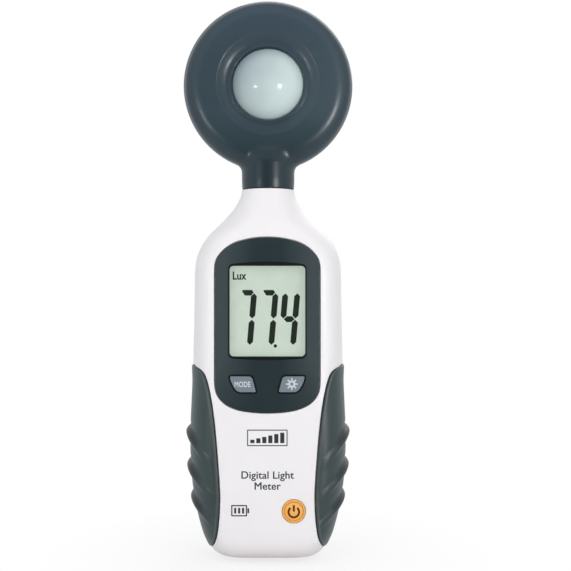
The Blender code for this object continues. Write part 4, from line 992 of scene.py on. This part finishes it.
# generic graphic above the words: a framed row of bars of growing height
bars = stroke([(-7.0, 42.9), (7.0, 42.9), (7.0, 48.4), (-7.0, 48.4)], 0.34, True)
for i in range(6):
    x = -5.3 + 2.12 * i
    bars.append([(x - 0.74, 43.8), (x + 0.74, 43.8), (x + 0.74, 45.0 + 0.5 * i), (x - 0.74, 45.0 + 0.5 * i)])
place(ink("level_mark", bars, skin_y, PRINT_DARK), "case", slot="bezel_abs")
for i, (word, size, z) in enumerate((("Digital Light", 3.75, 31.2), ("Meter", 3.75, 27.3))):
    t = text_object(f"word_{i + 1}", word, size, 0, z, skin_y(0, z) + 0.0, PRINT_DARK, bold=0.07, space=1.03)
    # follow the crown of the case
    for v in t.data.vertices:
        x, z1 = v.co.x / MM, v.co.z / MM
        v.co.y += (skin_y(x, z1) - skin_y(0, z)) * MM
    place(t, "case", slot="bezel_abs")
icon = stroke([(-12.6, 18.0), (-7.4, 18.0), (-7.4, 21.6), (-12.6, 21.6)], 0.42, True) + stroke([(-6.75, 19.1), (-6.75, 20.5)], 0.6)
icon += stroke([(-11.4, 19.0), (-11.4, 20.6)], 0.75) + stroke([(-10.0, 19.0), (-10.0, 20.6)], 0.75) + stroke([(-8.6, 19.0), (-8.6, 20.6)], 0.75)
place(ink("battery_mark", icon, skin_y, PRINT_DARK), "case", slot="bezel_abs")

# key legends
t = text_object("mode_legend", "MODE", 2.65, -8.8, 63.8, -17.74, PRINT_PALE, extrude=0.02, space=1.05, bold=0.10)
for v in t.data.vertices:                # a narrow face
    v.co.x = (-8.8 + (v.co.x / MM + 8.8) * 0.74) * MM
place(t, "mode_key", slot="white_abs")
sun = ring(8.7, 64.8, 0.92, 0.62)
for k in range(8):
    a = math.radians(45 * k)
    sun += stroke([(8.7 + 1.3 * math.cos(a), 64.8 + 1.3 * math.sin(a)), (8.7 + 1.95 * math.cos(a), 64.8 + 1.95 * math.sin(a))], 0.5)
place(ink("backlight_legend", sun, lambda x, z: -17.745, PRINT_PALE), "backlight_key", slot="white_abs")
pw = ring(px, pz - 0.15, 1.88, 0.74, 130, 410) + stroke([(px, pz + 0.2), (px, pz + 2.05)], 0.74)
place(ink("power_legend", pw, lambda x, z: -17.47, PRINT_BROWN), "power_key", slot="key_orange")

# ------------------------------------------------------------------ display: unit and digits
LEAN = 0.085


def segment(x0, z0, x1, z1, width):
    """A hexagonal segment between two points."""
    a, b = Vector((x0, z0)), Vector((x1, z1))
    d = (b - a).normalized()
    nrm = Vector((-d.y, d.x)) * width / 2
    e = d * width / 2
    return [tuple(p) for p in (a, a + e + nrm, b - e + nrm, b, b - e - nrm, a + e - nrm)]


def digit(x, z, w, h, on, width=2.1, g=0.2):
    m, out = z + h / 2, []
    S = {"a": (x, z + h, x + w, z + h), "d": (x, z, x + w, z), "g": (x, m, x + w, m), "f": (x, m, x, z + h), "b": (x + w, m, x + w, z + h),
         "e": (x, z, x, m), "c": (x + w, z, x + w, m)}
    for k in on:
        x0, z0, x1, z1 = S[k]
        if k == "a":                     # the top bar: its outer corner runs out to a point
            bar = [(x0 - 0.15, z0 + 0.6), (x0 + 0.1, z0 + 1.0), (x1 - 0.85, z0 + 1.0), (x1 - 0.2, z0 + 0.1), (x1 - 1.0, z0 - 1.0), (x0 + 1.05, z0 - 1.0)]
            out.append([(px_ + (pz_ - 78.5) * LEAN, pz_) for px_, pz_ in bar])
            continue
        d = Vector((x1 - x0, z1 - z0)).normalized() * g
        out.append([(px_ + (pz_ - 78.5) * LEAN, pz_) for px_, pz_ in segment(x0 + d.x, z0 + d.y, x1 - d.x, z1 - d.y, width)])
    return out


segs = digit(-10.65, 78.2, 4.3, 18.9, "abc") + digit(-2.95, 78.2, 4.3, 18.9, "abc") + digit(4.85, 78.2, 4.3, 18.9, "fgbc")
segs += [[(2.8 + 0.62 * math.cos(t), 78.05 + 0.62 * math.sin(t)) for t in np.linspace(0, 2 * math.pi, 20)[:-1]]]
place(ink("display_digits", segs, lambda x, z: -13.40, SEGMENT, 0.03), "case", slot="lcd_glass")
t = text_object("display_unit", "Lux", 4.1, -12.6, 101.85, -13.43, SEGMENT, centre=False, bold=0.12)
for v in t.data.vertices:                # a narrow face
    v.co.x = (-12.6 + (v.co.x / MM + 12.6) * 0.80) * MM
place(t, "case", slot="lcd_glass")

# dark gasket round the window: thin at the sides, with painted shade as a crescent above and below where the crowned
# bezel's reveal lies in shadow
inner, outer_g = [], []
corner = rounded_rect(13.5, 74.4, 106.7, 1.5)
for i, p0 in enumerate(corner):
    p1 = corner[(i + 1) % len(corner)]
    steps = 12 if math.dist(p0, p1) > 5 else 1
    for k in range(steps):
        inner.append((p0[0] + (p1[0] - p0[0]) * k / steps, p0[1] + (p1[1] - p0[1]) * k / steps))
for x, z in inner:
    mid = 90.55
    v = (z - mid) / 16.15
    bow = max(0.0, 1 - (x / 13.9) ** 2) * (1.0 if abs(v) > 0.97 else 0.0)
    outer_g.append((x * (1 + 0.42 / 13.5), mid + v * (16.15 + 0.42 + (1.05 if v > 0 else 0.8) * bow)))


def window_y(x, z):
    return skin_y(x, z) - 0.25


pts, faces = [], []
n = len(inner)
for ring_pts, lift in ((inner, 0.04), (outer_g, 0.04), (outer_g, -0.2), (inner, -2.6)):
    pts += [(x, window_y(x, z) - lift, z) for x, z in ring_pts]
for i in range(4):
    for j in range(n):
        k = (j + 1) % n
        faces.append((i * n + j, i * n + k, ((i + 1) % 4) * n + k, ((i + 1) % 4) * n + j))
place(build("window_gasket_and_shade", pts, faces, GASKET_AND_SHADE), "case", slot="black_plastic")

# ------------------------------------------------------------------ sensor head
f_nw, f_nf, f_nb = (fine([(r[0], r[k]) for r in NECK]) for k in (1, 2, 3))
BOWL = [(13.05, 4.6), (13.12, 4.85), (13.22, 5.25), (13.37, 5.62), (13.5, 5.86), (13.7, 5.97), (14.2, 5.97), (14.45, 5.9), (14.65, 5.65), (14.9, 5.55), (15.6, 5.7), (16.4, 6.02),
        (17.3, 6.55), (18.0, 7.05), (18.45, 7.4), (18.75, 7.6), (19.1, 7.70), (19.5, 7.68), (20.2, 7.64), (21, 7.62), (24.3, 7.62)]
f_bowl = fine(BOWL)


def head_field(x, y, z):
    """Signed distance to the disc and neck, blended into each other (y counted from the parting plane)."""
    r = np.hypot(x, z - HEAD_Z)
    ra, half = 7.0, 7.62
    dx, dy = r - (HEAD_R - ra), np.abs(y) - (half - ra)
    disc = np.minimum(np.maximum(dx, dy), 0) + np.hypot(np.maximum(dx, 0), np.maximum(dy, 0)) - ra
    rn = 9.6 + 0.15 * smoothstep(135, 139, z) - 1.9 * smoothstep(144.5, 151.0, z)
    q, e = np.hypot(x, y) - rn + 2.0, z - 150.5 + 2.0
    neck = np.minimum(np.maximum(q, e), 0) + np.hypot(np.maximum(q, 0), np.maximum(e, 0)) - 2.0
    k = 2.4
    h = np.clip(0.5 + 0.5 * (disc - neck) / k, 0, 1)
    return disc * (1 - h) + neck * h - k * h * (1 - h)


def height(x, z, front):
    """How far the head's skin stands from the parting plane."""
    x, z = np.broadcast_arrays(np.asarray(x, float), np.asarray(z, float))
    lo, hi = np.zeros(x.shape), np.full(x.shape, 14.0)
    any_in = head_field(x, lo, z) < 0
    for _ in range(26):
        mid = (lo + hi) / 2
        inside = head_field(x, mid, z) < 0
        lo = np.where(inside, mid, lo)
        hi = np.where(inside, hi, mid)
    h = np.where(any_in, lo, 0)
    if front:
        r = np.hypot(x, z - HEAD_Z)
        t = smoothstep(19.8, 24.6, r)
        h = np.where(h > 0, f_bowl(np.clip(r, 13.05, 24.3)) * (1 - t) + h * t, 0)
    return h


def outline_radius(theta, front):
    c, s = np.cos(theta), np.sin(theta)
    lo = np.full(theta.shape, 25.0)
    bottom = (HEAD_Z - NECK[0][0]) / np.maximum(-s, 1e-3)
    hi = np.where(s < -0.5, bottom, 40.0)
    hi = np.minimum(hi, 48)
    full = height(c * hi * 0.9999, HEAD_Z + s * hi * 0.9999, front) > 1e-3
    top = hi.copy()
    for _ in range(30):
        mid = (lo + hi) / 2
        inside = height(c * mid, HEAD_Z + s * mid, front) > 1e-3
        lo = np.where(inside, mid, lo)
        hi = np.where(inside, hi, mid)
    return np.where(full, top, lo)


def head_solid(name, front, r_in):
    down = -math.pi / 2
    th = np.concatenate([down + np.linspace(-0.62, 0.62, 121)[:-1], down + np.linspace(0.62, 2 * math.pi - 0.62, 200)[:-1]])
    R = outline_radius(th, front)
    if front:
        base = np.array([p[0] for p in BOWL])
    else:
        base = np.array([0.01, 4, 8, 12, 16, 19, 22.0])
    t = np.sin(np.linspace(0, 1, 60)[1:] * math.pi / 2)
    t = 0.45 * t + 0.55 * np.linspace(0, 1, 60)[1:]
    rows = [np.full(th.shape, b) for b in base] + [base[-1] + (R - base[-1]) * k for k in t]
    rr = np.array(rows)
    X, Z = rr * np.cos(th), HEAD_Z + rr * np.sin(th)
    H = height(X, Z, front)
    edge = np.minimum(1.0, np.maximum(R, 1) * 0 + 1)
    H[-1] = np.where(np.abs(Z[-1] - NECK[0][0]) < 0.02, H[-1], GAP / 2)
    H = np.maximum(H, GAP / 2)
    sgn = -1 if front else 1
    top = np.stack([X, sgn * H, Z], -1)
    flat = np.stack([X, np.full(X.shape, sgn * GAP / 2), Z], -1)
    n, m = X.shape
    pts = np.concatenate([top.reshape(-1, 3), flat.reshape(-1, 3)])
    a = lambda i, j: i * m + j % m
    b = lambda i, j: n * m + i * m + j % m
    faces = []
    for i in range(n - 1):
        for j in range(m):
            faces.append((a(i, j), a(i, j + 1), a(i + 1, j + 1), a(i + 1, j)))
            faces.append((b(i, j), b(i + 1, j), b(i + 1, j + 1), b(i, j + 1)))
    for j in range(m):
        faces.append((a(0, j), b(0, j), b(0, j + 1), a(0, j + 1)))
        faces.append((a(n - 1, j), a(n - 1, j + 1), b(n - 1, j + 1), b(n - 1, j)))
    return build(name, pts, faces, DARK, 38)


def bore():
    p = lathe("bore", [(0, 134), (6.5, 134), (6.5, 138.3), (7.75, 138.3), (7.75, 141.4), (0, 141.4)], (0, 0, 0), "z", DARK, 64)
    return join(p, box("way", -5.0, 5.0, -3.2, 5.2, 140.5, 152.6, DARK))


C = (0, 0, HEAD_Z)
hf = head_solid("sensor_head_front", True, 13.05)
cut(hf, lathe("hollow", [(0, -3), (29.6, -3), (29.6, 0.3), (29.1, 2.6), (27.9, 4.3), (26.0, 5.5), (24.0, 5.9), (20.3, 5.9), (18.6, 5.1),
                         (16.9, 4.45), (0, 4.45)], C, "-y", DARK, 96), bore())
HEAD_SCREWS = [(24.0 * math.cos(math.radians(t)), HEAD_Z + 24.0 * math.sin(math.radians(t))) for t in (90, 210, 330)]
hr_ = head_solid("sensor_head_rear", False, 0)
cut(hr_, lathe("hollow", [(0, -3), (29.6, -3), (29.6, 0.3), (28.8, 2.6), (27.0, 4.5), (24.6, 5.6), (21.8, 6.0), (0, 6.0)], C, "y", DARK, 96), bore())
for x, z in HEAD_SCREWS:
    join(hr_, rod("b", 3.1, x, z, 0.3, 6.9, DARK, 32))
    cut(hr_, rod("c", 2.3, x, z, 4.4, 20, DARK, 48), rod("h", 1.2, x, z, -9, 10, DARK, 24))


def head_normal(front):
    def f(co):
        e = 0.03
        x, z = co[:, 0], co[:, 2]
        hx = (height(x + e, z, front) - height(x - e, z, front)) / (2 * e)
        hz_ = (height(x, z + e, front) - height(x, z - e, front)) / (2 * e)
        s = -1 if front else 1
        n = np.stack([-hx, np.full(x.shape, float(s)), -hz_], -1)
        n[:, 0] *= 1
        return n / np.linalg.norm(n, axis=1, keepdims=True)
    return f


def on_head(front):
    return lambda co: (np.abs(np.abs(co[:, 1]) - height(co[:, 0], co[:, 2], front)) < 0.05) & (np.abs(co[:, 1]) > 2.5)


true_normals(hf, head_normal(True), on_head(True), 0.9)
true_normals(hr_, head_normal(False), on_head(False), 0.9)
place(hf, "head", "head_front_shell", slot="dark_abs")
place(hr_, "head", "head_rear_shell", slot="dark_abs")

th = -math.pi / 2 + np.linspace(0.30, 2 * math.pi - 0.30, 180)
rl = np.minimum(outline_radius(th, True), outline_radius(th, False)) - 0.95
ok = (HEAD_Z + rl * np.sin(th) > 136.5)
line = [(float(r_ * math.cos(t_)), float(HEAD_Z + r_ * math.sin(t_))) for r_, t_ in zip(rl[ok], th[ok])]
place(lip("head_tongue", line, 0.5, -1.0, 1.0, BLACK, False), "head", slot="black_plastic")

# dome
wide, foot = DOME_R + 0.23, 4.7          # the dome swells a little over its seat
cap = 13.3 - foot
R_OUT = (wide**2 + cap**2) / (2 * cap)
yc = foot + cap - R_OUT
t0 = math.asin(wide / R_OUT)
outer = [(DOME_R, 4.1), (DOME_R + 0.16, 4.35)] + [(R_OUT * math.sin(t0 * (1 - k / 40)), yc + R_OUT * math.cos(t0 * (1 - k / 40))) for k in range(40)] + [(0, yc + R_OUT)]
R_IN = R_OUT - 1.6
t1 = math.asin(11.2 / R_IN)
inner = [(0, yc + R_IN)] + [(R_IN * math.sin(t1 * k / 20), yc + R_IN * math.cos(t1 * k / 20)) for k in range(1, 21)]
dome = lathe("opal_dome_cap", [(14.9, 2.8), (14.9, 4.15)] + outer + inner + [(11.2, 2.8)], C, "-y", OPAL, 128)
place(dome, "head", "diffuser_dome", slot="opal_dome")

# ------------------------------------------------------------------ stage, light, camera
sc = bpy.context.scene
floor_mesh = bpy.data.meshes.new("floor")
floor_mesh.from_pydata([(-6, -6, -0.0003), (6, -6, -0.0003), (6, 6, -0.0003), (-6, 6, -0.0003)], [], [(0, 1, 2, 3)])
floor = bpy.data.objects.new("floor", floor_mesh)
sc.collection.objects.link(floor)
m, N, L = nt("floor")
b = N["Principled BSDF"]
b.inputs["Base Color"].default_value = (0.90, 0.90, 0.90, 1)
b.inputs["Roughness"].default_value = 0.7
b.inputs["Specular IOR Level"].default_value = 0.15
tc = N.new("ShaderNodeTexCoord").outputs["Object"]
vm = N.new("ShaderNodeVectorMath")
vm.operation = "LENGTH"
L.new(tc, vm.inputs[0])
em = N.new("ShaderNodeEmission")
em.inputs["Color"].default_value = (1, 1, 1, 1)
em.inputs["Strength"].default_value = 1.0
mx = N.new("ShaderNodeMixShader")
lpf = N.new("ShaderNodeLightPath")
seen = mathn(N, L, "ADD", 0.08, mathn(N, L, "MULTIPLY", lpf.outputs["Is Camera Ray"], 0.92))
L.new(mathn(N, L, "MULTIPLY", ramp(N, L, vm.outputs["Value"], -0.22, 0.09), seen), mx.inputs[0])
L.new(b.outputs[0], mx.inputs[1])
L.new(em.outputs[0], mx.inputs[2])
L.new(mx.outputs[0], N["Material Output"].inputs["Surface"])
floor.data.materials.append(m)
floor.visible_glossy = False

w = bpy.data.worlds.new("world")
sc.world = w
w.use_nodes = True
N, L = w.node_tree.nodes, w.node_tree.links
bg = N["Background"]
lp = N.new("ShaderNodeLightPath")
# the studio as seen in reflections: dark behind the camera, white to the sides, above and behind
gen = N.new("ShaderNodeTexCoord").outputs["Generated"]
sx = N.new("ShaderNodeSeparateXYZ")
L.new(gen, sx.inputs[0])
side_w = ramp(N, L, sx.outputs["Y"], -0.93, -0.45)
refl = mathn(N, L, "ADD", 0.20, mathn(N, L, "MULTIPLY", side_w, 0.72))
level = mathn(N, L, "ADD", mathn(N, L, "MULTIPLY", lp.outputs["Is Glossy Ray"], refl),
              mathn(N, L, "MULTIPLY", mathn(N, L, "SUBTRACT", 1.0, lp.outputs["Is Glossy Ray"]), 0.52))
bg.inputs["Color"].default_value = (0.94, 0.965, 1.0, 1)
L.new(level, bg.inputs["Strength"])
bg2 = N.new("ShaderNodeBackground")
bg2.inputs["Color"].default_value = (1, 1, 1, 1)
bg2.inputs["Strength"].default_value = 1.0
mx = N.new("ShaderNodeMixShader")
L.new(lp.outputs["Is Camera Ray"], mx.inputs[0])
L.new(bg.outputs[0], mx.inputs[1])
L.new(bg2.outputs[0], mx.inputs[2])
L.new(mx.outputs[0], N["World Output"].inputs["Surface"])


def area(name, az, el, dist, size, power, target=(0, 0, 0.12), colour=(1, 1, 1), size_y=None):
    """A soft light at azimuth az (0 in front of the display, positive to the right) and elevation el."""
    d = bpy.data.lights.new(name, "AREA")
    d.shape = "RECTANGLE"
    d.size = size
    d.size_y = size_y or size
    d.energy = power
    d.color = colour
    o = bpy.data.objects.new(name, d)
    a, e = math.radians(az), math.radians(el)
    t = Vector(target)
    o.location = t + Vector((math.sin(a) * math.cos(e), -math.cos(a) * math.cos(e), math.sin(e))) * dist
    o.rotation_euler = (t - o.location).to_track_quat("-Z", "Y").to_euler()
    sc.collection.objects.link(o)
    return o


head_at = (0, -0.01, 0.165)
for o in (area("right_box", 36, -6, 0.9, 0.11, 2.7, head_at, size_y=0.11), area("left_box", -38, -7, 0.9, 0.09, 0.9, head_at, size_y=0.09)):
    o.visible_diffuse = False
soft = [area("front_right", 34, 16, 1.2, 0.9, 3.15), area("front_left", -34, 16, 1.2, 0.9, 2.55), area("top_soft", 3, 52, 1.0, 0.9, 2.7)]
for o in soft:
    o.visible_glossy = False
area("back_soft", 165, 35, 1.2, 0.9, 4.5)

cam = bpy.data.cameras.new("camera")
cam.sensor_width = 36
cam.lens = 63.8
cam.clip_start = 0.01
co = bpy.data.objects.new("camera", cam)
co.location = (0.00645, -0.376, 0.0997)
co.rotation_euler = (math.radians(90), 0, 0)
sc.collection.objects.link(co)
sc.camera = co
sc.view_settings.view_transform = "Standard"
sc.view_settings.look = "None"

bpy.context.view_layer.update()
